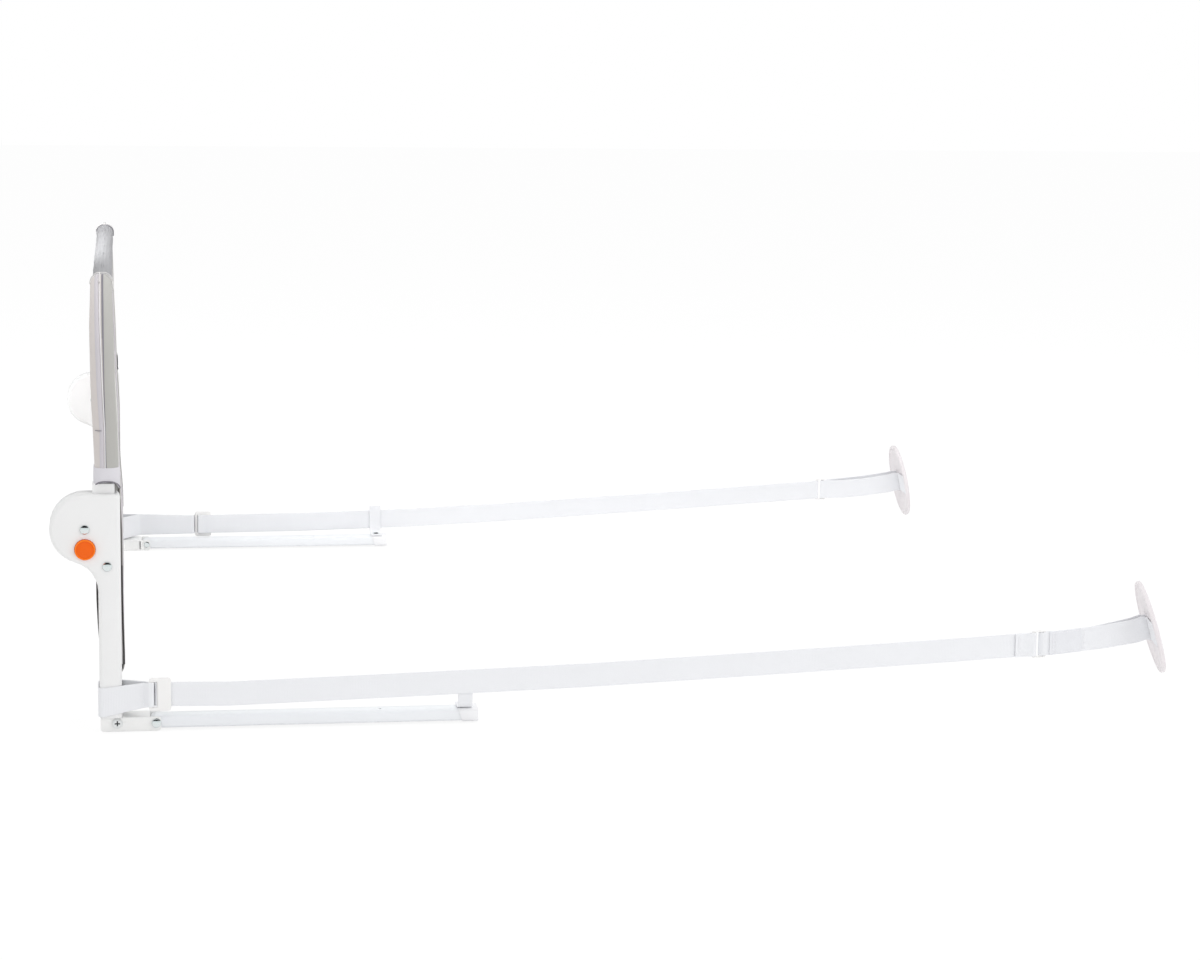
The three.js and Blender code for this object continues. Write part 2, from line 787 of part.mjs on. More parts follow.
function armTube() {
  const outlineAt = (inset) => [
    ...arc(armPivotX, armPivotZ, armHeight / 2 - inset, 90, 270, 10),
    point(armEnd, armBottom + inset),
    point(armEnd, armTop - inset),
  ];
  const armBack = armFront + armDepth;
  const [wall, boreCorner] = [tubeWall, armCorner - tubeWall];
  const bore = roundedBox(armFront + wall, armBottom + wall, armBack - wall, armTop - wall, boreCorner);
  const body = loft("y", pillowSections(armFront, armBack, armCorner, outlineAt));
  return cut(
    body,
    slab("x", bore, armPivotX + armSolidEnd, armEnd + overrun),
    pin("y", armPivotX, armPivotZ, rivetShankRadius + fitGap, armFront - overrun, armBack + overrun),
    pin("z", armHoleX, armMidDepth, armHoleRadius, armPivotZ, armTop + overrun, 12),
    pin("z", keeperX, armMidDepth, keeperShankRadius + fitGap, armPivotZ, armTop + overrun, 12),
  );
}

// Cap that slips over the arm's tip, its inner edge slanted as seen from the end of the rail
function armEndCap() {
  const around = (grow) => roundedBox(armFront - grow, armBottom - grow,
    armFront + armDepth + grow, armTop + grow, armCorner + grow);
  const start = armTip - endCapLength;
  const grow = fitGap + endCapWall;
  const [low, high] = [armBottom - grow, armTop + grow];
  const slant = [
    point(start - overrun, low - overrun),
    point(start + endCapSlant, low - overrun),
    point(start + endCapSlant, low),
    point(start, high),
    point(start, high + overrun),
    point(start - overrun, high + overrun),
  ];
  return cut(
    slab("x", around(grow), start, armTip),
    slab("x", around(fitGap), start - overrun, armTip - endCapTipWall),
    slab("y", slant, -overrun, endDepth + overrun),
    pin("z", keeperX, armMidDepth, keeperShankRadius + fitGap, armPivotZ, capTop + overrun, 12),
  );
}

// Webbing tab from the arm's tip up to the back of the strap
function strapKeeper() {
  const foot = capTop + fitGap + keeperThickness / 2;
  const rise = webbingSelfGap + keeperThickness / 2;
  const path = [
    point(armFront + armDepth, foot),
    point(rise + 2 * keeperBend, foot),
    point(rise + keeperBend, foot + keeperBend / 4),
    point(rise + keeperBend / 4, foot + keeperBend),
    point(rise, foot + 2 * keeperBend),
    point(rise, keeperTopZ),
  ];
  return cut(
    slab("x", ribbonOutline(path, keeperThickness), keeperX - keeperWidth / 2, keeperX + keeperWidth / 2),
    pin("z", keeperX, armMidDepth, keeperShankRadius + fitGap, foot - overrun, foot + overrun, 12),
  );
}

function keeperRivet() {
  const head = capTop + 2 * fitGap + keeperThickness;
  const tail = armTop - tubeWall - fitGap;
  return turned("z", keeperX, armMidDepth, [
    [0, tail - rivetTailHeight],
    [keeperHeadRadius / 2, tail - rivetTailHeight],
    [keeperHeadRadius * Math.SQRT1_2, tail],
    [keeperShankRadius, tail],
    [keeperShankRadius, head],
    [keeperHeadRadius, head],
    [keeperHeadRadius * Math.SQRT1_2, head + keeperHeadHeight * Math.SQRT1_2],
    [0, head + keeperHeadHeight],
  ]);
}

// Straps

function routeHeight(end) {
  const curve = new THREE.CatmullRomCurve3(end.route.map(([x, z]) => new THREE.Vector3(x, 0, z)));
  const samples = curve.getPoints(12 * end.route.length);
  return (x) => {
    const i = samples.findIndex((p) => p.x > x);
    if (i < 0) return end.route.at(-1)[1];
    if (i === 0) return end.route[0][1];
    const [a, b] = [samples[i - 1], samples[i]];
    return a.z + ((b.z - a.z) * (x - a.x)) / (b.x - a.x);
  };
}

// A flat slider with one upright slot, which lies on the outer side of the webbing
function glide(shape, x, z) {
  const [low, high] = [x - shape.width / 2, x + shape.width / 2];
  const [front, back] = [glideDepth - glideThickness / 2, glideDepth + glideThickness / 2];
  const halfSlot = (webbingWidth + slotAllowance) / 2;
  const outline = roundedBox(low, z - shape.height / 2, high, z + shape.height / 2, shape.corner);
  const [slotLow, slotHigh] = [low + shape.bar, low + shape.bar + shape.slot];
  return cut(
    slab("y", outline, front, back),
    box(slotLow, slotHigh, front - overrun, back + overrun, z - halfSlot, z + halfSlot),
  );
}

// The wide webbing about the leg, as stations in order: from its sewn end behind the slider,
// round the leg, over the slider's bar and into its slot
function loopStations(end) {
  const sewnDepth = webbingDepth + layerStep;
  const wrap = edgeRounding + fitGap + webbingThickness / 2;
  const cornerX = legWidth / 2 - edgeRounding;
  const cornerDepth = endDepth - edgeRounding;
  const sliderLow = end.sliderX - slider.width / 2;
  const loopEnd = sliderLow - slotAllowance;
  const runOut = Math.min(legWidth / 2 + loopRunOut, loopEnd);
  const backTurnDeg = THREE.MathUtils.radToDeg(Math.atan2(runOut - cornerX, cornerDepth - sewnDepth));
  const roundLeg = [
    ...arc(cornerX, cornerDepth, wrap, backTurnDeg, 90, 4),
    ...arc(-cornerX, cornerDepth, wrap, 90, 180, 4),
    ...arc(-cornerX, edgeRounding, wrap, 180, 270, 4),
  ].map((p) => [p.x, p.y]);
  const rear = runOut < loopEnd ? [[loopEnd, sewnDepth], [runOut, sewnDepth]] : [[loopEnd, sewnDepth]];
  const slotX = sliderLow + slider.bar + slotWall;
  const front = [
    [sliderLow - glideRun, webbingDepth],
    [sliderLow, overDepth],
    [slotX, overDepth],
    [slotX, webbingDepth],
  ];
  return [...rear, ...roundLeg, ...front].map(([x, depth]) => {
    const share = THREE.MathUtils.clamp((x - cornerX) / (loopEnd - cornerX), 0, 1);
    const z = THREE.MathUtils.lerp(loopZ, end.route[0][1], share);
    return { x, depth, lean: 0, z, width: THREE.MathUtils.lerp(loopWidth, webbingWidth, share) };
  });
}

// The long webbing in order: from the slider's slot behind its wide side, along the route,
// round the adjuster's first bar, and back on the outer side to its tail
function strapStations(end) {
  const heightAt = routeHeight(end);
  const sliderSlotX = end.sliderX - slider.width / 2 + slider.bar + slider.slot - slotWall;
  const adjusterLow = end.adjusterX - adjuster.width / 2;
  const adjusterSlotX = adjusterLow + adjuster.bar + slotWall;
  const tailDepth = webbingDepth - layerStep;
  const along = end.route.slice(1).map(([x]) => [x, webbingDepth]).filter(([x]) => x < adjusterLow);
  const path = [
    [sliderSlotX, glideDepth - glideThickness / 2],
    [sliderSlotX, webbingDepth],
    ...along,
    [adjusterSlotX, webbingDepth],
    [adjusterSlotX, overDepth],
    [adjusterLow, overDepth],
    [adjusterLow - glideRun, tailDepth],
    [adjusterLow - tailLength, tailDepth],
  ];
  return path.map(([x, depth]) => ({ x, depth, lean: 0, z: heightAt(x), width: webbingWidth }));
}

// The short webbing in order: from its seam on the outer side round the adjuster's second bar,
// to the plate, round the bar between the plate's slots, and back to the seam
function plateLoopStations(end) {
  const heightAt = routeHeight(end);
  const station = ([x, depth], lean = 0, z = heightAt(x)) => ({ x, depth, lean, z, width: webbingWidth });
  const turn = THREE.MathUtils.degToRad(end.turnDeg);
  const leanAngle = THREE.MathUtils.degToRad(end.leanDeg);
  const plateLean = Math.tan(leanAngle);
  const onPlate = (along, across) => [
    end.plateX + along * Math.cos(turn) - across * Math.sin(turn),
    webbingDepth + along * Math.sin(turn) + across * Math.cos(turn),
  ];
  const [halfSpacing, plateZ] = [plateSlotSpacing / 2, end.route.at(-1)[1]];
  const adjusterHigh = end.adjusterX + adjuster.width / 2;
  const slotX = adjusterHigh - adjuster.bar - slotWall;
  const [outer, inner] = [onPlate(-plateApproach, -halfSpacing), onPlate(-plateApproach, halfSpacing)];
  const between = (from, to, t) => station(
    [THREE.MathUtils.lerp(adjusterHigh, to[0], t), THREE.MathUtils.lerp(from, to[1], t)],
    plateLean * t * t,
  );
  const gapShare = seamGap / 2 / (outer[0] - adjusterHigh);
  const behind = plateThickness / 2 / Math.cos(leanAngle) + slotWall;
  const roundPlate = [[-plateApproach, 1], [behind, 1], [behind, -1], [-plateApproach, -1]];
  return [
    ...[seamShare - gapShare, seamShare / 2].map((t) => between(overDepth, outer, t)),
    ...[[adjusterHigh, overDepth], [slotX, overDepth], [slotX, webbingDepth]].map((at) => station(at)),
    ...[0, 1 / 4, 1 / 2, 3 / 4].map((t) => between(webbingDepth, inner, t)),
    ...roundPlate.map(([along, way]) => station(onPlate(along, way * halfSpacing), plateLean, plateZ)),
    ...[4 / 5, 3 / 5, seamShare + gapShare].map((t) => between(overDepth, outer, t)),
  ];
}

function webbingLength(stations) {
  return stations.slice(1).reduce((sum, b, i) => {
    const a = stations[i];
    return sum + Math.hypot(b.x - a.x, b.depth - a.depth, b.z - a.z);
  }, 0);
}

// Disc with a thicker rim and two upright slots, leaning with its top toward the rail
function anchorPlate(end) {
  const half = plateThickness / 2;
  const rim = half + plateRimHeight;
  const inner = plateRadius - plateRimWidth;
  const disc = turned("z", 0, 0, [
    [0, -half],
    [inner - plateRimHeight, -half],
    [inner, -rim],
    [plateRadius - plateRimHeight, -rim],
    [plateRadius, -half],
    [plateRadius, half],
    [plateRadius - plateRimHeight, rim],
    [inner, rim],
    [inner - plateRimHeight, half],
    [0, half],
  ], 40);
  const slots = [-1, 1].map((way) => {
    const centre = (way * plateSlotSpacing) / 2;
    const [x, y] = [plateSlotHeight / 2, plateSlotWidth / 2];
    return slab("z", roundedBox(-x, centre - y, x, centre + y, y / 2, 2), -rim - overrun, rim + overrun);
  });
  const plate = cut(disc, ...slots);
  plate.rotateY(Math.PI / 2 - THREE.MathUtils.degToRad(end.leanDeg));
  plate.rotateZ(THREE.MathUtils.degToRad(end.turnDeg));
  plate.translate(end.plateX, webbingDepth, end.route.at(-1)[1]);
  return outward(plate);
}

// Assembly

const rail = new THREE.Group();
rail.name = "bed_guard_rail";

function add(name, geometry, material) {
  const mesh = new THREE.Mesh(geometry, material);
  mesh.name = name;
  rail.add(mesh);
}

add("lower_bar", lowerBar(), materials.paintedTube);
add("top_middle_tube", middleTube(), materials.paintedTube);
add("cover_upper", upperCover(), materials.fabric);
add("cover_lower", lowerCover(), materials.fabric);

const bracketBack = bracketFront + bracketDepth + fitGap;
for (const end of ends) {
  const webbings = [loopStations(end), strapStations(end), plateLoopStations(end)];
  const [loop, strap, plateLoop] = webbings.map(band);
  const pieces = [
    ["leg_front_shell", legFrontShell(), materials.moulding],
    ["leg_back_shell", legBackShell(), materials.moulding],
    ["hub_rotor", hubRotor(), materials.rotor],
    ["hub_rivet", domeRivet(hubX, hubHeight, -fitGap, endDepth + fitGap), materials.rivet],
    ["leg_rivet", domeRivet(legRivetX, legRivetZ, -fitGap, endDepth + fitGap), materials.rivet],
    ["release_button", releaseButton(), materials.button],
    ["button_spring", buttonSpring(), materials.spring],
    ["post", legPost(), materials.paintedTube],
    ["side_tube", sideTube(), materials.paintedTube],
    ["corner_bracket", cornerBracket(), materials.bracket],
    ["bracket_screw", crossHeadScrew(bracketScrewX, bracketScrewZ, bracketFront - fitGap), materials.rivet],
    ["arm_rivet", domeRivet(armPivotX, armPivotZ, bracketFront - fitGap, bracketBack), materials.rivet],
    ["arm_tube", armTube(), materials.paintedTube],
    ["arm_end_cap", armEndCap(), materials.endCap],
    ["strap_keeper", strapKeeper(), materials.webbing],
    ["keeper_rivet", keeperRivet(), materials.rivet],
    ["leg_loop", loop, materials.webbing],
    ["strap", strap, materials.webbing],
    ["plate_loop", plateLoop, materials.webbing],
    ["strap_slider", glide(slider, end.sliderX, end.route[0][1]), materials.glide],
    ["strap_adjuster", glide(adjuster, end.adjusterX, routeHeight(end)(end.adjusterX)), materials.glide],
    ["anchor_plate", anchorPlate(end), materials.plate],
  ];
  for (const [name, geometry, material] of pieces) {
    add(`${end.name}_${name}`, atEnd(geometry, end.side), material);
  }
  console.log(`${end.name} webbings, lengths in mm:`, webbings.map(webbingLength));
}

// The origin is under the middle of the bounding box
const bounds = new THREE.Box3().setFromObject(rail);
const middle = bounds.getCenter(new THREE.Vector3());
for (const mesh of rail.children) mesh.geometry.translate(-middle.x, -middle.y, -bounds.min.z);
console.log("moved by", -middle.x, -middle.y, -bounds.min.z, "size", bounds.getSize(new THREE.Vector3()));

const springPitch = (backWallDepth - springSeatWall - fitGap - 2 * springWireRadius) / springTurns;
console.log("button spring, gap between turns in mm:", springPitch - 2 * springWireRadius);

export default rail;
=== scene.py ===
"""Folding bed guard rail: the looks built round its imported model.

The rigid pieces are smoothed copies of the model's own nodes. The webbing, the fabric cover with
its net windows, its bindings and its stitches are modelled here. Lengths in the code are
millimetres in the rail's own coordinates, where X is 0 at the middle of a leg and points along
the arms, depth counts inward from an end's outer face, and Z is up.
"""

from __future__ import annotations

import json
import logging
import math
from dataclasses import astuple, dataclass, field
from enum import Enum

import bpy
from mathutils import Matrix, Vector, noise

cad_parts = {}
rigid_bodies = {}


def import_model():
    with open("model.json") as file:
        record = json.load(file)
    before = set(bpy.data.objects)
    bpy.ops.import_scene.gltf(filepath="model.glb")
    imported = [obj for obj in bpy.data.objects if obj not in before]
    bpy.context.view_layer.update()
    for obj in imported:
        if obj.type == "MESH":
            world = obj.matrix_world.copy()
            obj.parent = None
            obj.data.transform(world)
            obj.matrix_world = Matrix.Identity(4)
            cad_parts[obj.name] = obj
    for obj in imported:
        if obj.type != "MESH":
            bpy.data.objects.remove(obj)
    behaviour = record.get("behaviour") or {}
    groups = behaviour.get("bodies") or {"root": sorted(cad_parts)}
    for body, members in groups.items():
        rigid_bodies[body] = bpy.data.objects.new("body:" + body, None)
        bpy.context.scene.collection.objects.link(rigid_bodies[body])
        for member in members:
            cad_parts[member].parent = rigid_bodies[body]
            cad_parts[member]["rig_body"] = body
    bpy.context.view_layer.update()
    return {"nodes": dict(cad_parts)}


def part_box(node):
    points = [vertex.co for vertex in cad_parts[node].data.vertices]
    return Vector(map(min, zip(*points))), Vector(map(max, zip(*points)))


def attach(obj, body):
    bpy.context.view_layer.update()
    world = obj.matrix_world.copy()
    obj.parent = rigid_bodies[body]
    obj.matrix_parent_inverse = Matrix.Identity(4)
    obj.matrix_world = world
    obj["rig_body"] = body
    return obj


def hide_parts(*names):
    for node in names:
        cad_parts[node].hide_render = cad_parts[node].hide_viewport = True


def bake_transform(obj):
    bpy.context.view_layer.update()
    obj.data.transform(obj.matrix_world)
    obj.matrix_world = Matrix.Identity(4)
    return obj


LOG = logging.getLogger("bed_guard_rail")
MM = 0.001
HALF_LENGTH = 550.0
# A wave texture's bands come round after this length at a scale of 1
WAVE_LENGTH = math.pi / 10


class End(Enum):
    """The two ends of the rail: the value is the sign of Y."""

    NEAR = -1
    FAR = 1

    @property
    def prefix(self) -> str:
        """Start of the end's node names."""
        return self.name.lower()


class Side(Enum):
    """The cover's two sides: the value is the sign of X from its middle."""

    OUTER = -1
    MATTRESS = 1

    @property
    def label(self) -> str:
        """The side's word in a piece's name."""
        return self.name.lower()


class Way(Enum):
    """Parts of the way over the cover: up an end, round its corner and along the top."""

    RISE = "rise"
    TURN = "turn"
    RUN = "run"


# A part of the way over the cover and the share of it, and the points of a flat outline
Step = tuple[Way, float]
Outline = list[tuple[float, float]]


class Skin(Enum):
    """How rings of points are skinned: as an open sheet, an open hoop or a closed solid."""

    SHEET = "sheet"
    HOOP = "hoop"
    SOLID = "solid"


def linear(hex_colour: str) -> tuple[float, float, float, float]:
    """Turns an sRGB hex colour into linear values.

    Args:
        hex_colour: Colour such as "#EBECEC".

    Returns:
        Red, green, blue and an alpha of 1.
    """
    channels = [int(hex_colour[i : i + 2], 16) / 255 for i in (1, 3, 5)]
    values = [c / 12.92 if c <= 0.04045 else ((c + 0.055) / 1.055) ** 2.4 for c in channels]
    return values[0], values[1], values[2], 1.0


def eased(t: float) -> float:
    """Smooth step from nought to one."""
    t = min(max(t, 0.0), 1.0)
    return t * t * (3 - 2 * t)


def between_rows(rows: tuple[tuple[float, ...], ...], at: float) -> list[float]:
    """Reads values at a place from a table, drawn straight between its rows.

    Args:
        rows: Table whose rows start with their place, in rising order.
        at: Place to read. Past an end it reads that end's row.

    Returns:
        The values that follow the place in a row.
    """
    if at <= rows[0][0]:
        return list(rows[0][1:])
    for low, high in zip(rows, rows[1:]):
        if at <= high[0]:
            t = (at - low[0]) / (high[0] - low[0])
            return [a + (b - a) * t for a, b in zip(low[1:], high[1:])]
    return list(rows[-1][1:])


def square_to(path: Outline, i: int) -> Vector:
    """Finds the unit vector square to a flat path at one of its points.

    Args:
        path: Points of the path.
        i: Number of the point.

    Returns:
        Vector to the left of the way that the path runs.
    """
    before, after = path[max(i - 1, 0)], path[min(i + 1, len(path) - 1)]
    return Vector((before[1] - after[1], after[0] - before[0])).normalized()


@dataclass(frozen=True)
class RailPlace:
    """Turns rail coordinates into the model's frame, from where its nodes are."""

    x: float
    y: float

    @classmethod
    def from_frame(cls) -> RailPlace:
        """Reads the middle of the posts, which stand at X 0."""
        near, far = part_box("near_post"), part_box("far_post")
        return cls((near[0].x + near[1].x) / 2, (near[0].y + far[1].y) / 2)

    def at(self, x: float, y: float, z: float) -> Vector:
        """Place in metres of rail coordinates X, Y and Z in millimetres."""
        return Vector((self.x + x * MM, self.y + y * MM, z * MM))

    def at_end(self, end: End, x: float, depth: float, z: float) -> Vector:
        """Place in metres of a point at a depth behind an end's outer face."""
        return self.at(x, end.value * (HALF_LENGTH - depth), z)


def deselect_all() -> None:
    """Leaves edit mode, with nothing selected."""
    if bpy.context.object and bpy.context.object.mode != "OBJECT":
        bpy.ops.object.mode_set(mode="OBJECT")
    bpy.ops.object.select_all(action="DESELECT")


def make_active(piece: bpy.types.Object) -> None:
    """Selects one object alone and makes it active.

    Args:
        piece: The object.
    """
    deselect_all()
    piece.select_set(True)
    bpy.context.view_layer.objects.active = piece


def open_all(piece: bpy.types.Object) -> None:
    """Opens a piece in edit mode with all of it selected.

    Args:
        piece: The piece.
    """
    make_active(piece)
    bpy.ops.object.mode_set(mode="EDIT")
    bpy.ops.mesh.select_all(action="SELECT")


def turn_outwards(piece: bpy.types.Object) -> None:
    """Turns the faces of a closed piece outwards.

    Args:
        piece: The piece.
    """
    open_all(piece)
    bpy.ops.mesh.normals_make_consistent(inside=False)
    bpy.ops.object.mode_set(mode="OBJECT")


def new_piece(name: str, mesh: bpy.types.Mesh) -> bpy.types.Object:
    """Links a mesh to the scene as an object at the origin, selected alone.

    Args:
        name: Name of the piece and of its mesh.
        mesh: Mesh with its points in metres.

    Returns:
        The new piece.
    """
    mesh.name = name
    piece = bpy.data.objects.new(name, mesh)
    bpy.context.scene.collection.objects.link(piece)
    make_active(piece)
    return piece


def piece_of(name: str, points: list[Vector], faces: list[tuple[int, ...]]) -> bpy.types.Object:
    """Makes a piece of points in metres and faces between them.

    Args:
        name: Name of the piece.
        points: Its points.
        faces: The numbers of each face's points, in order.

    Returns:
        The new piece.
    """
    mesh = bpy.data.meshes.new(name)
    mesh.from_pydata(points, [], faces)
    return new_piece(name, mesh)


def skinned(name: str, rings: list[list[Vector]], skin: Skin = Skin.SHEET) -> bpy.types.Object:
    """Joins rings of equal counts by quads.

    Args:
        name: Name of the new piece.
        rings: Points in metres, ring by ring.
        skin: SHEET leaves each ring open, HOOP closes it, and SOLID also caps both ends.

    Returns:
        The new piece, with faces that point outwards where it is closed.
    """
    count = len(rings[0])
    faces = []
    for start in range(0, (len(rings) - 1) * count, count):
        for i in range(count - 1 if skin is Skin.SHEET else count):
            j = (i + 1) % count
            faces.append((start + i, start + j, start + count + j, start + count + i))
    if skin is Skin.SOLID:
        faces.append(tuple(reversed(range(count))))
        faces.append(tuple(range((len(rings) - 1) * count, len(rings) * count)))
    piece = piece_of(name, [point for ring in rings for point in ring], faces)
    if skin is Skin.SOLID:
        turn_outwards(piece)
    return piece


def unroll(piece: bpy.types.Object, across: list[float], lengths: list[float]) -> None:
    """Gives a skinned band a UV map in millimetres.

    Args:
        piece: Band whose points run ring by ring.
        across: U of each point of a ring.
        lengths: V of each ring.
    """
    layer = piece.data.uv_layers.new(name="UVMap")
    for loop in piece.data.loops:
        ring, i = divmod(loop.vertex_index, len(across))
        layer.data[loop.index].uv = (across[i], lengths[ring])


def apply_modifiers(piece: bpy.types.Object) -> None:
    """Applies every modifier of a piece.

    Args:
        piece: The piece.
    """
    make_active(piece)
    for modifier in list(piece.modifiers):
        bpy.ops.object.modifier_apply(modifier=modifier.name)


def thicken(piece: bpy.types.Object, thickness: float, offset: float) -> None:
    """Gives a sheet its thickness.

    Args:
        piece: Sheet of faces.
        thickness: Thickness in millimetres.
        offset: -1 to grow inwards from the faces, 0 to grow to both sides.
    """
    solid = piece.modifiers.new("Thickness", "SOLIDIFY")
    solid.thickness = thickness * MM
    solid.offset = offset
    apply_modifiers(piece)


def dress(
    piece: bpy.types.Object, *materials: bpy.types.Material, crease: float | None = None
) -> bpy.types.Object:
    """Gives a piece its materials and its shading.

    Args:
        piece: Piece to dress.
        *materials: Materials that take the place of those it has.
        crease: Angle in degrees past which an edge of a smooth piece stays crisp, or None to
            leave the shading as it is.

    Returns:
        The same piece.
    """
    if crease is not None:
        make_active(piece)
        bpy.ops.object.shade_smooth_by_angle(angle=math.radians(crease))
    piece.data.materials.clear()
    for material in materials:
        piece.data.materials.append(material)
    return piece


def finish_piece(piece: bpy.types.Object, slot: str, body: str, *nodes: str) -> None:
    """Hides the nodes that a piece stands for, and lets it ride on a body.

    Args:
        piece: Finished piece.
        slot: Material slot that it takes its finish from. It is not used.
        body: Body that it moves with.
        *nodes: Nodes of the model that it stands for.
    """
    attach(piece, body)
    if nodes:
        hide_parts(*nodes)
    LOG.info("%s rides on %s", piece.name, body)


def add_node(
    tree: bpy.types.NodeTree, kind: str, settings: dict | None = None, **inputs: object
) -> bpy.types.Node:
    """Adds a shader node.

    Args:
        tree: Tree that the node joins.
        kind: Blender's name of the node type.
        settings: Properties of the node.
        **inputs: Values for sockets or sockets to link, by the socket's name with "_" for a
            space, or as in_0 and so on by its number.

    Returns:
        The new node.
    """
    node = tree.nodes.new(kind)
    for key, value in (settings or {}).items():
        setattr(node, key, value)
    for key, value in inputs.items():
        numbered = key.startswith("in_")
        socket = node.inputs[int(key[3:]) if numbered else key.replace("_", " ")]
        if isinstance(value, bpy.types.NodeSocket):
            tree.links.new(value, socket)
        else:
            socket.default_value = value
    return node


@dataclass(frozen=True)
class Finish:
    """Moulded, coated or metal surface: one shader with a mottled colour and a fine grain.

    The relief is the share of its depth that shows. Depth and grain are in millimetres. The
    grain is drawn coarser than a mould's real one of about 0.1 mm, or it wouldn't show.
    """

    name: str
    colour: str
    roughness: float
    metallic: float = 0.0
    specular: float = 0.5
    sheen: float = 0.0
    mottle: float = 0.015
    mottle_scale: float = 18.0
    relief: float = 0.02
    relief_depth: float = 0.2
    grain: float = 0.6

    def height(self, tree: bpy.types.NodeTree, coordinates: bpy.types.Node) -> bpy.types.NodeSocket:
        """Draws the relief, here a grain.

        Args:
            tree: Tree of the material.
            coordinates: Its texture coordinates.

        Returns:
            Socket with the height.
        """
        scale = 1 / (self.grain * MM)
        vector = coordinates.outputs["Object"]
        grain = add_node(tree, "ShaderNodeTexNoise", Vector=vector, Scale=scale, Detail=3.0)
        return grain.outputs["Fac"]

    def tint(
        self,
        tree: bpy.types.NodeTree,
        coordinates: bpy.types.Node,
        height: bpy.types.NodeSocket,
    ) -> bpy.types.NodeSocket:
        """Mixes the colour, here with a slow, faint change of value.

        Args:
            tree: Tree of the material.
            coordinates: Its texture coordinates.
            height: Height of the relief, for finishes that colour it.

        Returns:
            Socket with the colour.
        """
        base = Vector(linear(self.colour)[:3])
        dark, light = ((*(base * share), 1.0) for share in (1 - self.mottle, 1 + self.mottle))
        cloud = add_node(
            tree,
            "ShaderNodeTexNoise",
            Vector=coordinates.outputs["Object"],
            Scale=self.mottle_scale,
            Detail=2.0,
        )
        share = cloud.outputs["Fac"]
        rgba = {"data_type": "RGBA"}
        return add_node(tree, "ShaderNodeMix", rgba, in_0=share, in_6=dark, in_7=light).outputs[2]

    def build(self) -> bpy.types.Material:
        """Makes the material.

        Returns:
            The material, named for the finish.
        """
        material = bpy.data.materials.new(self.name)
        material.use_nodes = True
        tree = material.node_tree
        shader = tree.nodes["Principled BSDF"]
        for socket, value in (
            ("Roughness", self.roughness),
            ("Metallic", self.metallic),
            ("Specular IOR Level", self.specular),
            ("Sheen Weight", self.sheen),
        ):
            shader.inputs[socket].default_value = value
        coordinates = add_node(tree, "ShaderNodeTexCoord")
        height = self.height(tree, coordinates)
        bump = add_node(
            tree,
            "ShaderNodeBump",
            Height=height,
            Strength=self.relief,
            Distance=self.relief_depth * MM,
        )
        tree.links.new(bump.outputs["Normal"], shader.inputs["Normal"])
        tree.links.new(self.tint(tree, coordinates, height), shader.inputs["Base Color"])
        return material


@dataclass(frozen=True)
class WebbingFinish(Finish):
    """Webbing: warp cords along it and picks across it, on its UV map in millimetres.

    Each set of threads has the way that it is spaced and its spacing in millimetres.
    """

    sheen: float = 0.1
    mottle_scale: float = 25.0
    relief: float = 0.35
    relief_depth: float = 0.35
    threads: tuple[tuple[str, float], ...] = (("X", 1.25), ("Y", 1.6))
    map_name: str = "UV"
    map_unit: float = 1.0
    unevenness: float = 0.0

    def height(self, tree: bpy.types.NodeTree, coordinates: bpy.types.Node) -> bpy.types.NodeSocket:
        """Draws the weave, where two sets of threads cross.

        Args:
            tree: Tree of the material.
            coordinates: Its texture coordinates.

        Returns:
            Socket with the height.
        """
        first, second = (
            add_node(
                tree,
                "ShaderNodeTexWave",
                {"bands_direction": direction},
                Vector=coordinates.outputs[self.map_name],
                Scale=WAVE_LENGTH / (spacing * self.map_unit),
                Distortion=self.unevenness,
                Detail=1.0,
            ).outputs["Fac"]
            for direction, spacing in self.threads
        )
        product = {"operation": "MULTIPLY"}
        return add_node(tree, "ShaderNodeMath", product, in_0=first, in_1=second).outputs["Value"]


@dataclass(frozen=True)
class ClothFinish(WebbingFinish):
    """Woven polyester: threads that cross and waver a little, under a soft sheen.

    The threads are about 0.4 mm apart in real cloth, and drawn coarser so that they show.
    """

    specular: float = 0.15
    sheen: float = 0.15
    mottle_scale: float = 30.0
    relief: float = 0.25
    relief_depth: float = 0.3
    threads: tuple[tuple[str, float], ...] = (("DIAGONAL", 1.1), ("Z", 1.1))
    map_name: str = "Object"
    map_unit: float = MM
    unevenness: float = 0.6


# Threads of tapes and bindings, which are finer than the cloth's
HEM_THREADS = (("DIAGONAL", 0.9), ("Z", 0.9))
TAPE_THREADS = (("DIAGONAL", 0.8), ("Z", 0.8))


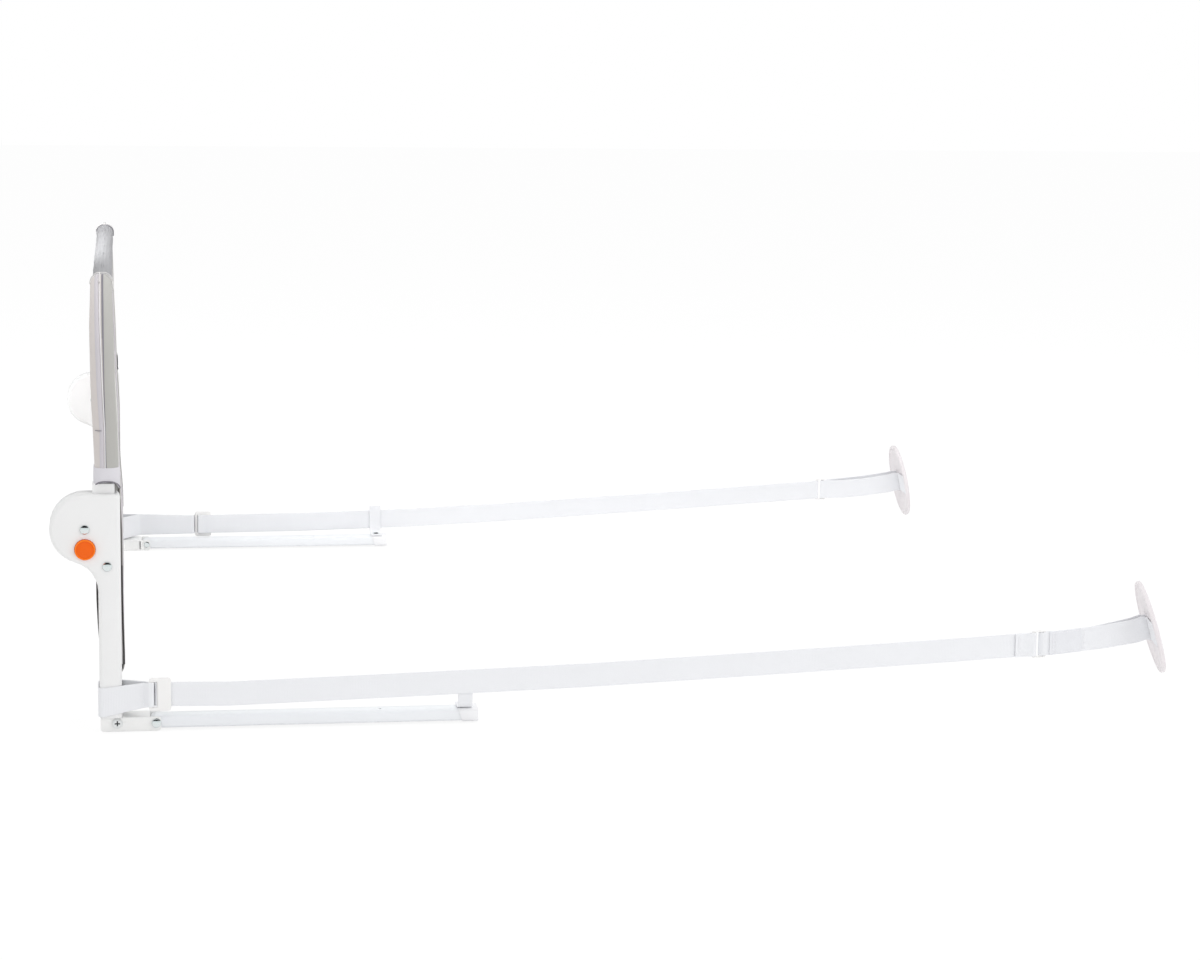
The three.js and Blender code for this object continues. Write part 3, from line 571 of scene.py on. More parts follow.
@dataclass(frozen=True)
class NetFinish(Finish):
    """Knitted net drawn tight over a tube: raised strands in diamonds over paler ground."""

    mottle_scale: float = 40.0
    relief: float = 0.4
    relief_depth: float = 0.4
    cell: float = 6.0
    slant: float = 0.75
    strand_share: float = 0.3
    strand_colour: str = "#87878B"

    def height(self, tree: bpy.types.NodeTree, coordinates: bpy.types.Node) -> bpy.types.NodeSocket:
        """Draws the strands: the places near nought of two slanting sets of bands.

        Args:
            tree: Tree of the material.
            coordinates: Its texture coordinates.

        Returns:
            Socket that is 1 on a strand and 0 beside it.
        """
        parts = add_node(tree, "ShaderNodeSeparateXYZ", Vector=coordinates.outputs["Object"])
        bands = []
        for slant in (self.slant, -self.slant):
            wave = parts.outputs["X"]
            for operation, others in (
                ("MULTIPLY_ADD", {"in_1": slant, "in_2": parts.outputs["Y"]}),
                ("MULTIPLY", {"in_1": math.pi / self.cell / MM}),
                ("SINE", {}),
                ("ABSOLUTE", {}),
            ):
                step = add_node(
                    tree, "ShaderNodeMath", {"operation": operation}, in_0=wave, **others
                )
                wave = step.outputs["Value"]
            bands.append(wave)
        nearest = add_node(
            tree, "ShaderNodeMath", {"operation": "MINIMUM"}, in_0=bands[0], in_1=bands[1]
        )
        strand = add_node(
            tree,
            "ShaderNodeMath",
            {"operation": "LESS_THAN"},
            in_0=nearest.outputs["Value"],
            in_1=self.strand_share,
        )
        return strand.outputs["Value"]

    def tint(
        self,
        tree: bpy.types.NodeTree,
        coordinates: bpy.types.Node,
        height: bpy.types.NodeSocket,
    ) -> bpy.types.NodeSocket:
        """Mixes the colour: darker on the strands.

        Args:
            tree: Tree of the material.
            coordinates: Its texture coordinates.
            height: Where the strands are.

        Returns:
            Socket with the colour.
        """
        ground = super().tint(tree, coordinates, height)
        strand = linear(self.strand_colour)
        rgba = {"data_type": "RGBA"}
        mix = add_node(tree, "ShaderNodeMix", rgba, in_0=height, in_6=ground, in_7=strand)
        return mix.outputs[2]


FINISHES = (
    # Polypropylene from a spark-eroded mould: an even, satin white with a hardly visible grain
    Finish("moulded_polypropylene", "#ECECEC", 0.42),
    # Moulded nylon: a duller white that looks a little warmer beside the leg's shells
    Finish("moulded_bracket_nylon", "#F3F3F2", 0.45),
    # Nylon from a smoother mould: satin white, mostly in the shade of the housing
    Finish("moulded_hub_nylon", "#EEEEEE", 0.42),
    # ABS from a polished mould: a clean, strong orange under a soft gloss
    Finish("glossy_orange_abs", "#F0640A", 0.24, specular=0.2, relief=0.004),
    # The same ABS on its rounded edge, in a lighter, yellower orange: a painted highlight where the
    # edge takes the light
    Finish("orange_abs_rim", "#FC7F14", 0.22, specular=0.3, relief=0.004),
    # Driven cross recess: near-black painted shade, where the recess lies out of the light
    Finish("screw_recess", "#2E3032", 0.5),
    # Acetal: a dense, slightly waxy white that shines more than the mouldings beside it
    Finish("moulded_slider_acetal", "#F0EFEE", 0.36),
    # Thin polypropylene: faintly pink, and cloudy where light goes into it
    Finish("moulded_plate_polypropylene", "#E6E1E3", 0.45, mottle=0.03),
    # Polyethylene: a cool, waxy white with broad highlights
    Finish("moulded_cap_polyethylene", "#F1F1F3", 0.5),
    # Powder coat on steel tube: a glossy, cool white with the slight waves of orange peel
    Finish("powder_coated_steel", "#EDEFF2", 0.28, relief=0.05, grain=1.6),
    # Bright nickel on steel: a near mirror that shows the pale floor below a dark top
    Finish("nickel_plated_steel", "#DDE3E3", 0.14, metallic=1.0, mottle=0.0, relief=0.004),
    # Zinc plate: a milky grey metal that blurs what it mirrors
    Finish("zinc_plated_screw", "#E4E6E6", 0.4, metallic=0.3, mottle=0.0, relief=0.01),
    # Drawn spring wire: darker steel with a line of light along each turn
    Finish("spring_steel", "#A9ADAF", 0.3, metallic=1.0),
    # Polypropylene webbing: a dull, bluish white ribbed by its cords
    WebbingFinish("woven_polypropylene_webbing", "#EBECEF", 0.75),
    # The same webbing in two sewn layers, flatter, and darker by a painted shade
    WebbingFinish("woven_sewn_webbing", "#E5E6EA", 0.8),
    # Plain weave polyester: matt beige with a faint cross-hatch
    ClothFinish("woven_polyester_beige", "#D2CCC9", 0.85),
    # The same cloth dyed grey green, on the mattress side
    ClothFinish("woven_polyester_grey_green", "#B5B4B0", 0.85),
    # Close-woven tape: pale lavender grey, smoother than the cloth
    ClothFinish("woven_lavender_tape", "#CAC6CB", 0.8, threads=TAPE_THREADS),
    # The band at the sleeve's hem, lighter where it is doubled over
    ClothFinish("woven_lavender_hem", "#D9D7DC", 0.8, threads=HEM_THREADS),
    # Folded binding: a dull charcoal line, its dark partly painted shade of the narrow gap beside
    # the leg
    ClothFinish("charcoal_binding", "#4B4849", 0.85, threads=TAPE_THREADS),
    # The same binding above a height: paler, with less painted shade
    ClothFinish("worn_grey_binding", "#85827F", 0.85, threads=TAPE_THREADS),
    # Knitted net drawn over the top tube: grey diamonds on a paler, uneven ground
    NetFinish("knitted_net_over_tube", "#ABABAD", 0.8, mottle=0.14),
    # Knitted polyester strands: soft, pale and slightly uneven
    Finish("knitted_net_polyester", "#D9D8D6", 0.8, mottle=0.03),
    # Spun polyester thread: bright, dull stitches
    Finish("sewing_thread", "#F1F0F2", 0.7),
    # Grey thread, darkened by the painted shade of the seam it sinks into, so that it reads as a
    # fine dark line
    Finish("dark_seam_thread", "#85828A", 0.8),
)


@dataclass(frozen=True)
class Copy:
    """How a node's smoothed copy is made: its finish, slot, edge bevel in mm and crease angle."""

    finish: str
    slot: str
    bevel: float = 0.0
    crease: float = 40.0


COPIES = {
    "leg_front_shell": Copy("moulded_polypropylene", "moulding"),
    "leg_back_shell": Copy("moulded_polypropylene", "moulding"),
    "hub_rotor": Copy("moulded_hub_nylon", "rotor", 0.5),
    "hub_rivet": Copy("nickel_plated_steel", "rivet", crease=60.0),
    "leg_rivet": Copy("nickel_plated_steel", "rivet", crease=60.0),
    "arm_rivet": Copy("nickel_plated_steel", "rivet", crease=60.0),
    "bracket_screw": Copy("zinc_plated_screw", "rivet", 0.2),
    "keeper_rivet": Copy("nickel_plated_steel", "rivet", crease=60.0),
    "release_button": Copy("glossy_orange_abs", "button", 0.3, 50.0),
    "button_spring": Copy("spring_steel", "spring", crease=60.0),
    "post": Copy("powder_coated_steel", "tube", 0.4),
    "side_tube": Copy("powder_coated_steel", "tube"),
    "corner_bracket": Copy("moulded_bracket_nylon", "bracket", 0.5),
    "arm_tube": Copy("powder_coated_steel", "tube"),
    "arm_end_cap": Copy("moulded_cap_polyethylene", "end_cap", 0.25),
    "strap_slider": Copy("moulded_slider_acetal", "glide", 0.5),
    "strap_adjuster": Copy("moulded_slider_acetal", "glide", 0.5),
    "anchor_plate": Copy("moulded_plate_polypropylene", "plate", 0.4),
    "lower_bar": Copy("powder_coated_steel", "tube"),
    "top_middle_tube": Copy("powder_coated_steel", "tube"),
}


@dataclass
class RigidPieces:
    """Smoothed copies of the moulded, metal and painted nodes, and their small additions."""

    place: RailPlace
    finishes: dict[str, bpy.types.Material]
    weld: float = 0.01
    flat_angle: float = 0.5
    bevel_angle: float = 40.0
    screw_head: float = 1.5
    recess_radius: float = 2.4
    recess_depth: float = 2.2
    recess_floor: float = 0.7
    rim_radius: float = 9.5
    rim_thickness: float = 1.5
    rim_sunk: float = 0.2
    panel_x: tuple[float, float] = (10.9, 35.4)
    panel_z: tuple[float, float] = (1.3, 12.9)
    panel_depths: tuple[float, float] = (30.3, 32.1)

    def copies(self, nodes: dict[str, bpy.types.Object]) -> None:
        """Copies each rigid node, and smooths and dresses the copy.

        Args:
            nodes: The model's nodes by name.
        """
        for name, node in nodes.items():
            kind = COPIES.get(name.removeprefix("near_").removeprefix("far_"))
            if kind is None:
                continue
            piece = new_piece(f"{name}_finished", node.data.copy())
            open_all(piece)
            bpy.ops.mesh.remove_doubles(threshold=self.weld * MM)
            bpy.ops.mesh.dissolve_limited(angle_limit=math.radians(self.flat_angle))
            bpy.ops.object.mode_set(mode="OBJECT")
            if kind.bevel:
                bevel = piece.modifiers.new("Edges", "BEVEL")
                bevel.width = kind.bevel * MM
                bevel.segments = 2
                bevel.limit_method = "ANGLE"
                bevel.angle_limit = math.radians(self.bevel_angle)
                apply_modifiers(piece)
            dress(piece, self.finishes[kind.finish], crease=kind.crease)
            finish_piece(piece, kind.slot, node["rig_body"], name)

    def bracket_panel(self, end: End) -> None:
        """Closes the bracket's pocket on the side toward the rail's middle.

        Args:
            end: End of the rail.
        """
        (left, right), (low, high) = self.panel_x, self.panel_z
        outline = [(left, low), (right, low), (right, high), (left, high)]
        rings = [
            [self.place.at_end(end, x, depth, z) for x, z in outline] for depth in self.panel_depths
        ]
        panel = skinned(f"{end.prefix}_bracket_panel", rings, Skin.SOLID)
        dress(panel, self.finishes["moulded_bracket_nylon"], crease=30)
        finish_piece(panel, "bracket", "base")

    def button_rim(self, end: End) -> None:
        """Raises a glossy rim round a button's face, coloured with a painted highlight.

        Args:
            end: End of the rail.
        """
        low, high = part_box(f"{end.prefix}_release_button")
        face = low.y if end is End.NEAR else high.y
        y = face - end.value * self.rim_sunk * MM
        deselect_all()
        bpy.ops.mesh.primitive_torus_add(
            location=((low.x + high.x) / 2, y, (low.z + high.z) / 2),
            rotation=(math.pi / 2, 0, 0),
            major_radius=self.rim_radius * MM,
            minor_radius=self.rim_thickness / 2 * MM,
            major_segments=48,
            minor_segments=10,
        )
        rim = bpy.context.object
        rim.name = rim.data.name = f"{end.prefix}_button_rim"
        bpy.ops.object.transform_apply(location=True, rotation=True, scale=True)
        # The rim's lighter orange is a painted highlight on the button's own ABS
        dress(rim, self.finishes["orange_abs_rim"], crease=60)
        finish_piece(rim, "button", f"{end.prefix}_button")

    def darken_recess(self, end: End) -> None:
        """Paints shade into the cross recess in the head of the bracket's screw.

        Args:
            end: End of the rail.
        """
        mesh = bpy.data.objects[f"{end.prefix}_bracket_screw_finished"].data
        outer = max(abs(vertex.co.y) for vertex in mesh.vertices)
        head = [v.co for v in mesh.vertices if abs(v.co.y) > outer - self.screw_head * MM]
        x, z = ((min(co[i] for co in head) + max(co[i] for co in head)) / 2 for i in (0, 2))
        # Second material: painted shade on the recess's walls and floor
        mesh.materials.append(self.finishes["screw_recess"])
        for face in mesh.polygons:
            sunk = outer - abs(face.center.y)
            across = math.hypot(face.center.x - x, face.center.z - z)
            inside = across < self.recess_radius * MM and sunk < self.recess_depth * MM
            wall = abs(face.normal.y) < 0.5
            if inside and (wall or sunk > self.recess_floor * MM):
                face.material_index = 1
        LOG.info("%s has its recess darkened", mesh.name)

    def additions(self, end: End) -> None:
        """Adds what an end's copies lack.

        Args:
            end: End of the rail.
        """
        self.bracket_panel(end)
        self.button_rim(end)
        self.darken_recess(end)


@dataclass(frozen=True)
class Station:
    """Place of a webbing's middle line: X, depth and Z, its width and how far its top leans."""

    x: float
    depth: float
    z: float
    width: float = 25.0
    lean: float = 0.0

    def mixed(self, other: Station, t: float) -> Station:
        """Station part of the way to another."""
        return Station(*(a + (b - a) * t for a, b in zip(astuple(self), astuple(other))))


@dataclass(frozen=True)
class EndSettings:
    """Where one end's slider, adjuster and plate are, and how its strap runs between them.

    The plate's turn and lean are in degrees. The route gives X and Z of the strap's middle line.
    """

    slider_x: float
    adjuster_x: float
    plate_x: float
    plate_turn: float
    plate_lean: float
    route: tuple[tuple[float, float], ...]

    @property
    def lean(self) -> float:
        """How far the plate leans for each millimetre of height."""
        return math.tan(math.radians(self.plate_lean))

    def height(self, x: float) -> float:
        """Height of the strap's middle line at X."""
        return between_rows(self.route, x)[0]

    def on_plate(self, along: float, across: float, plane: float) -> tuple[float, float]:
        """Sets off a point from the plate's centre.

        Args:
            along: Distance along the plate's axis, away from the rail.
            across: Distance across that axis, toward the rail's middle.
            plane: Depth of the plate's centre.

        Returns:
            X and depth of the point.
        """
        turn = math.radians(self.plate_turn)
        return (
            self.plate_x + along * math.cos(turn) - across * math.sin(turn),
            plane + along * math.sin(turn) + across * math.cos(turn),
        )


SETTINGS = {
    End.NEAR: EndSettings(
        slider_x=48.8,
        adjuster_x=964.5,
        plate_x=1087.0,
        plate_turn=-10.0,
        plate_lean=16.0,
        route=(
            (48.8, 38.8),
            (118, 37.5),
            (301, 42.6),
            (486, 48.3),
            (676, 56.8),
            (868, 66),
            (964, 71.3),
            (1032, 78.2),
            (1087, 87),
        ),
    ),
    End.FAR: EndSettings(
        slider_x=122.0,
        adjuster_x=990.0,
        plate_x=1105.0,
        plate_turn=3.0,
        plate_lean=11.0,
        route=(
            (122, 29.7),
            (260, 31),
            (407, 34.8),
            (535, 40.5),
            (660, 47.6),
            (790, 55),
            (917, 62.8),
            (990, 67),
            (1050, 72.4),
            (1105, 79),
        ),
    ),
}


@dataclass
class Stitches:
    """Rows of short raised stitches on an end's outer side, made as one mesh."""

    place: RailPlace
    end: End
    length: float = 2.0
    pitch: float = 2.9
    width: float = 0.6
    height: float = 0.35
    points: list[Vector] = field(default_factory=list)
    faces: list[tuple[int, ...]] = field(default_factory=list)

    def add(self, centre: Vector, along: Vector, out: Vector) -> None:
        """Adds one stitch: a lozenge that stands out of the cloth.

        Args:
            centre: Middle of the stitch in metres.
            along: Unit vector along it.
            out: Unit vector out of the cloth.
        """
        side = along.cross(out) * self.width / 2
        reach, rise = along * self.length / 2, out * self.height
        start = len(self.points)
        for offset in (reach, side, -reach, -side, rise, -rise):
            self.points.append(centre + offset * MM)
        for a, b in ((0, 1), (1, 2), (2, 3), (3, 0)):
            self.faces.append((start + a, start + b, start + 4))
            self.faces.append((start + b, start + a, start + 5))

    def row(self, start: tuple[float, float, float], stop: tuple[float, float, float]) -> None:
        """Adds stitches in a line.

        Args:
            start: X, depth and Z of the line's start.
            stop: X, depth and Z of its end.
        """
        a, b = self.place.at_end(self.end, *start), self.place.at_end(self.end, *stop)
        count = max(1, round((b - a).length / MM / self.pitch))
        out = Vector((0, self.end.value, 0))
        for i in range(count):
            self.add(a.lerp(b, (i + 0.5) / count), (b - a).normalized(), out)

    def column(self, x: float, depth: float, z: float, reach: float) -> None:
        """Adds an upright row that reaches as far above a height as below it."""
        self.row((x, depth, z - reach), (x, depth, z + reach))

    def build(self, name: str) -> bpy.types.Object:
        """Makes the mesh of all the stitches.

        Args:
            name: Name of the piece.

        Returns:
            The stitches.
        """
        piece = piece_of(name, self.points, self.faces)
        turn_outwards(piece)
        return piece


@dataclass
class Webbings:
    """The three lengths of webbing at one end: leg loop, strap and plate loop.

    Depths name the webbing's layers: the plane of the strap, over the bars of the slider and the
    adjuster, and the slider's own depth.
    """

    end: End
    place: RailPlace
    finishes: dict[str, bpy.types.Material]
    thickness: float = 1.4
    sewn_thickness: float = 1.2
    plane: float = -1.0
    layer_step: float = 1.9
    over: float = -5.6
    glide: float = -3.3
    slot_wall: float = 1.0
    corner_radius: float = 1.5
    seam_share: float = 0.35
    leg_x: float = 7.2
    leg_front: float = 4.0
    leg_back: float = 32.0
    wrap: float = 5.0
    loop_z: float = 31.0
    loop_width: float = 30.0
    strap_width: float = 25.0
    loop_run: float = 37.2
    slider_half: float = 11.0
    slider_bar: float = 3.4
    slider_far_slot: float = 8.0
    adjuster_half: float = 7.3
    adjuster_bar: float = 2.6
    plate_slot: float = 8.0
    plate_half: float = 1.5
    stitch_reach: float = 10.5
    keeper_x: float = 358.0
    keeper_half: float = 7.5
    keeper_z: float = 15.8
    keeper_depth: float = 1.1
    keeper_bend: float = 10.0

    @property
    def settings(self) -> EndSettings:
        """Where the end's pieces are."""
        return SETTINGS[self.end]

    def loop_stations(self) -> list[Station]:
        """Follows the wide webbing round the leg.

        Returns:
            Stations from its sewn end, round the leg and over the slider's bar, to its tail.
        """
        slider_low = self.settings.slider_x - self.slider_half
        loop_end = slider_low - 1
        run_out = min(self.loop_run, loop_end)
        sewn = self.plane + self.layer_step
        turn = math.degrees(math.atan2(run_out - self.leg_x, self.leg_back - sewn))
        path = [(loop_end, sewn)] + ([(run_out, sewn)] if run_out < loop_end else [])
        for cx, cy, start, stop in (
            (self.leg_x, self.leg_back, turn, 90),
            (-self.leg_x, self.leg_back, 90, 180),
            (-self.leg_x, self.leg_front, 180, 270),
        ):
            for i in range(7):
                angle = math.radians(start + (stop - start) * i / 6)
                path.append((cx + self.wrap * math.cos(angle), cy + self.wrap * math.sin(angle)))
        slot_x = slider_low + self.slider_bar + self.slot_wall
        path += [(slider_low - 5, self.plane), (slider_low, self.over), (slot_x, self.over)]
        path += [(slot_x, sewn), (slot_x + 10, sewn)]
        narrowing = self.loop_width - self.strap_width
        stations = []
        for x, depth in path:
            share = min(max((x - self.leg_x) / (loop_end - self.leg_x), 0.0), 1.0)
            z = self.loop_z + (self.settings.route[0][1] - self.loop_z) * share
            stations.append(Station(x, depth, z, self.loop_width - narrowing * share))
        return stations

    def strap_stations(self) -> list[Station]:
        """Follows the long webbing.

        Returns:
            Stations from the slider's slot, along the route and round the adjuster's bar.
        """
        s = self.settings
        slider_slot = s.slider_x - self.slider_half + self.slider_far_slot - self.slot_wall
        low = s.adjuster_x - self.adjuster_half
        slot_x = low + self.adjuster_bar + self.slot_wall
        tail = self.plane - self.layer_step
        path = [(slider_slot, self.glide - 1.3), (slider_slot, self.plane)]
        path += [(x, self.plane) for x, _ in s.route[1:] if x < low]
        path += [(slot_x, self.plane), (slot_x, self.over), (low, self.over)]
        path += [(low - 5, tail), (low - 18, tail)]
        return [Station(x, depth, s.height(x)) for x, depth in path]

    def toward_plate(self, depth: float, across: float, t: float, drop: float = 0.0) -> Station:
        """Finds a station between the adjuster and the plate, where the webbing starts to lean.

        Args:
            depth: Depth of the layer at the adjuster.
            across: Where the layer meets the plate, across its axis.
            t: Share of the way.
            drop: How far the webbing hangs below the route.

        Returns:
            The station.
        """
        s = self.settings
        start = s.adjuster_x + self.adjuster_half
        x, end = s.on_plate(-self.plate_slot, across, self.plane)
        along = start + (x - start) * t
        z = s.height(along) - drop
        return Station(along, depth + (end - depth) * t, z, self.strap_width, s.lean * t * t)

    def on_plate(self, along: float, across: float, drop: float = 0.0) -> Station:
        """Finds a station at the plate, at the plate's lean.

        Args:
            along: Distance along the plate's axis, away from the rail.
            across: Distance across that axis, toward the rail's middle.
            drop: How far the webbing hangs below the plate's middle.

        Returns:
            The station.
        """
        s = self.settings
        x, depth = s.on_plate(along, across, self.plane)
        return Station(x, depth, s.route[-1][1] - drop, self.strap_width, s.lean)

    def plate_stations(self) -> list[Station]:
        """Follows the short webbing.

        Returns:
            Stations from its seam slackly round the adjuster's bar, through the plate and back.
        """
        s = self.settings
        slot, seam = self.plate_slot, self.seam_share
        high = s.adjuster_x + self.adjuster_half
        slot_x = high - self.adjuster_bar - self.slot_wall
        behind = self.plate_half / math.cos(math.radians(s.plate_lean)) + self.slot_wall
        out = (seam - 0.002, 0.3, 0.2, 0.1)
        stations = [self.toward_plate(self.over, -slot, t) for t in out]
        bends = (
            (high, self.over),
            (slot_x, self.over),
            (slot_x - 3.2, -3.0),
            (slot_x - 3.6, self.plane),
        )
        stations += [Station(x, depth, s.height(x)) for x, depth in bends]
        slack = ((0, 0), (0.12, 1.2), (0.25, 2), (0.5, 2.2), (0.75, 1.6), (0.9, 1.2))
        stations += [self.toward_plate(self.plane, slot, t, drop) for t, drop in slack]
        turns = ((-slot, slot, 1), (behind, slot, 0.8), (behind, -slot, 0.2), (-slot, -slot, 0))
        stations += [self.on_plate(*at) for at in turns]
        back = (0.9, 0.8, 0.6, 0.5, seam + 0.002)
        return stations + [self.toward_plate(self.over, -slot, t) for t in back]

    def rounded(self, stations: list[Station]) -> list[Station]:
        """Rounds sharp bends and divides long runs.

        Args:
            stations: Stations with sharp bends.

        Returns:
            More stations on nearly the same way.
        """
        smooth = [stations[0]]
        for before, here, after in zip(stations, stations[1:], stations[2:]):
            into = Vector((here.x - before.x, here.depth - before.depth))
            out = Vector((after.x - here.x, after.depth - here.depth))
            if into.angle(out, 0.0) < math.radians(30):
                smooth.append(here)
                continue
            reach = min(self.corner_radius, into.length * 0.45, out.length * 0.45)
            a = here.mixed(before, reach / into.length)
            b = here.mixed(after, reach / out.length)
            for i in range(5):
                t = i / 4
                smooth.append(a.mixed(here, t).mixed(here.mixed(b, t), t))
        smooth.append(stations[-1])
        dense = [smooth[0]]
        for a, b in zip(smooth, smooth[1:]):
            steps = max(1, int(abs(b.x - a.x) / 12))
            dense += [a.mixed(b, (i + 1) / steps) for i in range(steps)]
        return dense

    def band(
        self,
        name: str,
        stations: list[Station],
        thickness: float,
        finish: str = "woven_polypropylene_webbing",
    ) -> bpy.types.Object:
        """Skins webbing through stations, with round selvedges and a UV map.

        Args:
            name: The piece's name after the end's prefix.
            stations: Stations of the middle line.
            thickness: Thickness of the webbing.
            finish: Name of its finish.

        Returns:
            The webbing.
        """
        section = [(-1.0, 0.0), (-0.985, 0.7), (-0.94, 1.0), (-0.87, 0.82)]
        section += [(0.87, 0.82), (0.94, 1.0), (0.985, 0.7), (1.0, 0.0)]
        section += [(a, -out) for a, out in reversed(section[1:-1])]
        flat = [(here.x, here.depth) for here in stations]
        rings, lengths = [], [0.0]
        for i, here in enumerate(stations):
            normal = square_to(flat, i) * thickness / 2
            ring = []
            for across, out in section:
                up = across * here.width / 2
                x = here.x + normal.x * out - up * here.lean
                ring.append(
                    self.place.at_end(self.end, x, here.depth + normal.y * out, here.z + up)
                )
            rings.append(ring)
            if i:
                before = stations[i - 1]
                step = math.dist(astuple(here)[:3], astuple(before)[:3])
                lengths.append(lengths[-1] + step)
        piece = skinned(f"{self.end.prefix}_{name}", rings, Skin.SOLID)
        unroll(piece, [across * self.strap_width / 2 for across, _ in section], lengths)
        return dress(piece, self.finishes[finish], crease=50)

    def sewn_layer(self) -> bpy.types.Object:
        """Sews a second layer on the outer side of the plate loop, next to the adjuster, darkened
        by painted shade.

        Returns:
            The layer.
        """
        shares = (0.03, 0.1, 0.2, 0.3, self.seam_share)
        layer = self.over - 1.5
        stations = self.rounded([self.toward_plate(layer, -self.plate_slot, t) for t in shares])
        return self.band("sewn_layer", stations, self.sewn_thickness, "woven_sewn_webbing")

    def plate_flap(self) -> bpy.types.Object:
        """Lays a sewn flap on the plate from a slot to the rim, toward the near end on both.

        Returns:
            The flap.
        """
        side = self.end.value
        stations = [self.on_plate(-2.7, side * across) for across in (11, 20, 30, 40, 46.5)]
        return self.band("plate_flap", stations, self.sewn_thickness)

    def seams(self) -> bpy.types.Object:
        """Sews the sewn layer, the strap's tail and the slider's end.

        Returns:
            All their stitches in one piece.
        """
        s = self.settings
        stitches = Stitches(self.place, self.end)
        reach = self.stitch_reach
        ends = (0.06, 0.385)
        seam = {
            share: self.toward_plate(self.over - 2.3, -self.plate_slot, share)
            for share in (0.06, 0.09, 0.37, 0.385)
        }
        for here in seam.values():
            stitches.column(here.x, here.depth, here.z, reach)
        for up in (-reach, reach):
            start, stop = ((seam[t].x, seam[t].depth, seam[t].z + up) for t in ends)
            stitches.row(start, stop)
        low = s.adjuster_x - self.adjuster_half
        for x in (low - 15, low - 13):
            stitches.column(x, self.plane - self.layer_step - 0.8, s.height(x), reach)
        for x in (s.slider_x - 19, s.slider_x - 17):
            stitches.column(x, self.plane - self.layer_step, s.route[0][1], reach)
        piece = stitches.build(f"{self.end.prefix}_webbing_stitches")
        return dress(piece, self.finishes["sewing_thread"])

    def keeper(self) -> None:
        """Makes the tab that ties the strap to the arm's end."""
        half, foot = self.keeper_half, self.keeper_z
        rise, bend = self.keeper_depth, self.keeper_bend
        path = [(30.4, foot)]
        path += [(rise + bend + along, foot) for along in (15, 10, 5, 0)]
        for i in range(1, 7):
            angle = math.radians(90 * i / 6)
            path.append((rise + bend * (1 - math.sin(angle)), foot + bend * (1 - math.cos(angle))))
        path += [(rise, z) for z in (32, 38, 44, 52)]
        section = ((-1, -0.4), (-0.95, -1), (0.95, -1), (1, -0.4))
        section += tuple((a, -out) for a, out in reversed(section))
        rings = []
        for i, (depth, z) in enumerate(path):
            normal = square_to(path, i) * self.sewn_thickness / 2
            rings.append(
                [
                    self.place.at_end(
                        self.end,
                        self.keeper_x + across * half,
                        depth + out * normal.x,
                        z + out * normal.y,
                    )
                    for across, out in section
                ]
            )
        piece = skinned(f"{self.end.prefix}_keeper_tab", rings, Skin.SOLID)
        across = [math.copysign(half, a) for a, _ in section]
        unroll(piece, across, [i * 5.0 for i in range(len(path))])
        dress(piece, self.finishes["woven_polypropylene_webbing"], crease=40)
        prefix = self.end.prefix
        finish_piece(piece, "webbing", f"{prefix}_arm", f"{prefix}_strap_keeper")

    def build(self) -> None:
        """Makes the end's three lengths of webbing, what is sewn to them and the keeper."""
        for node, stations in (
            ("leg_loop", self.loop_stations()),
            ("strap", self.strap_stations()),
            ("plate_loop", self.plate_stations()),
        ):
            piece = self.band(f"{node}_webbing", self.rounded(stations), self.thickness)
            finish_piece(piece, "webbing", "base", f"{self.end.prefix}_{node}")
        for piece in (self.sewn_layer(), self.plate_flap(), self.seams()):
            finish_piece(piece, "webbing", "base")
        self.keeper()


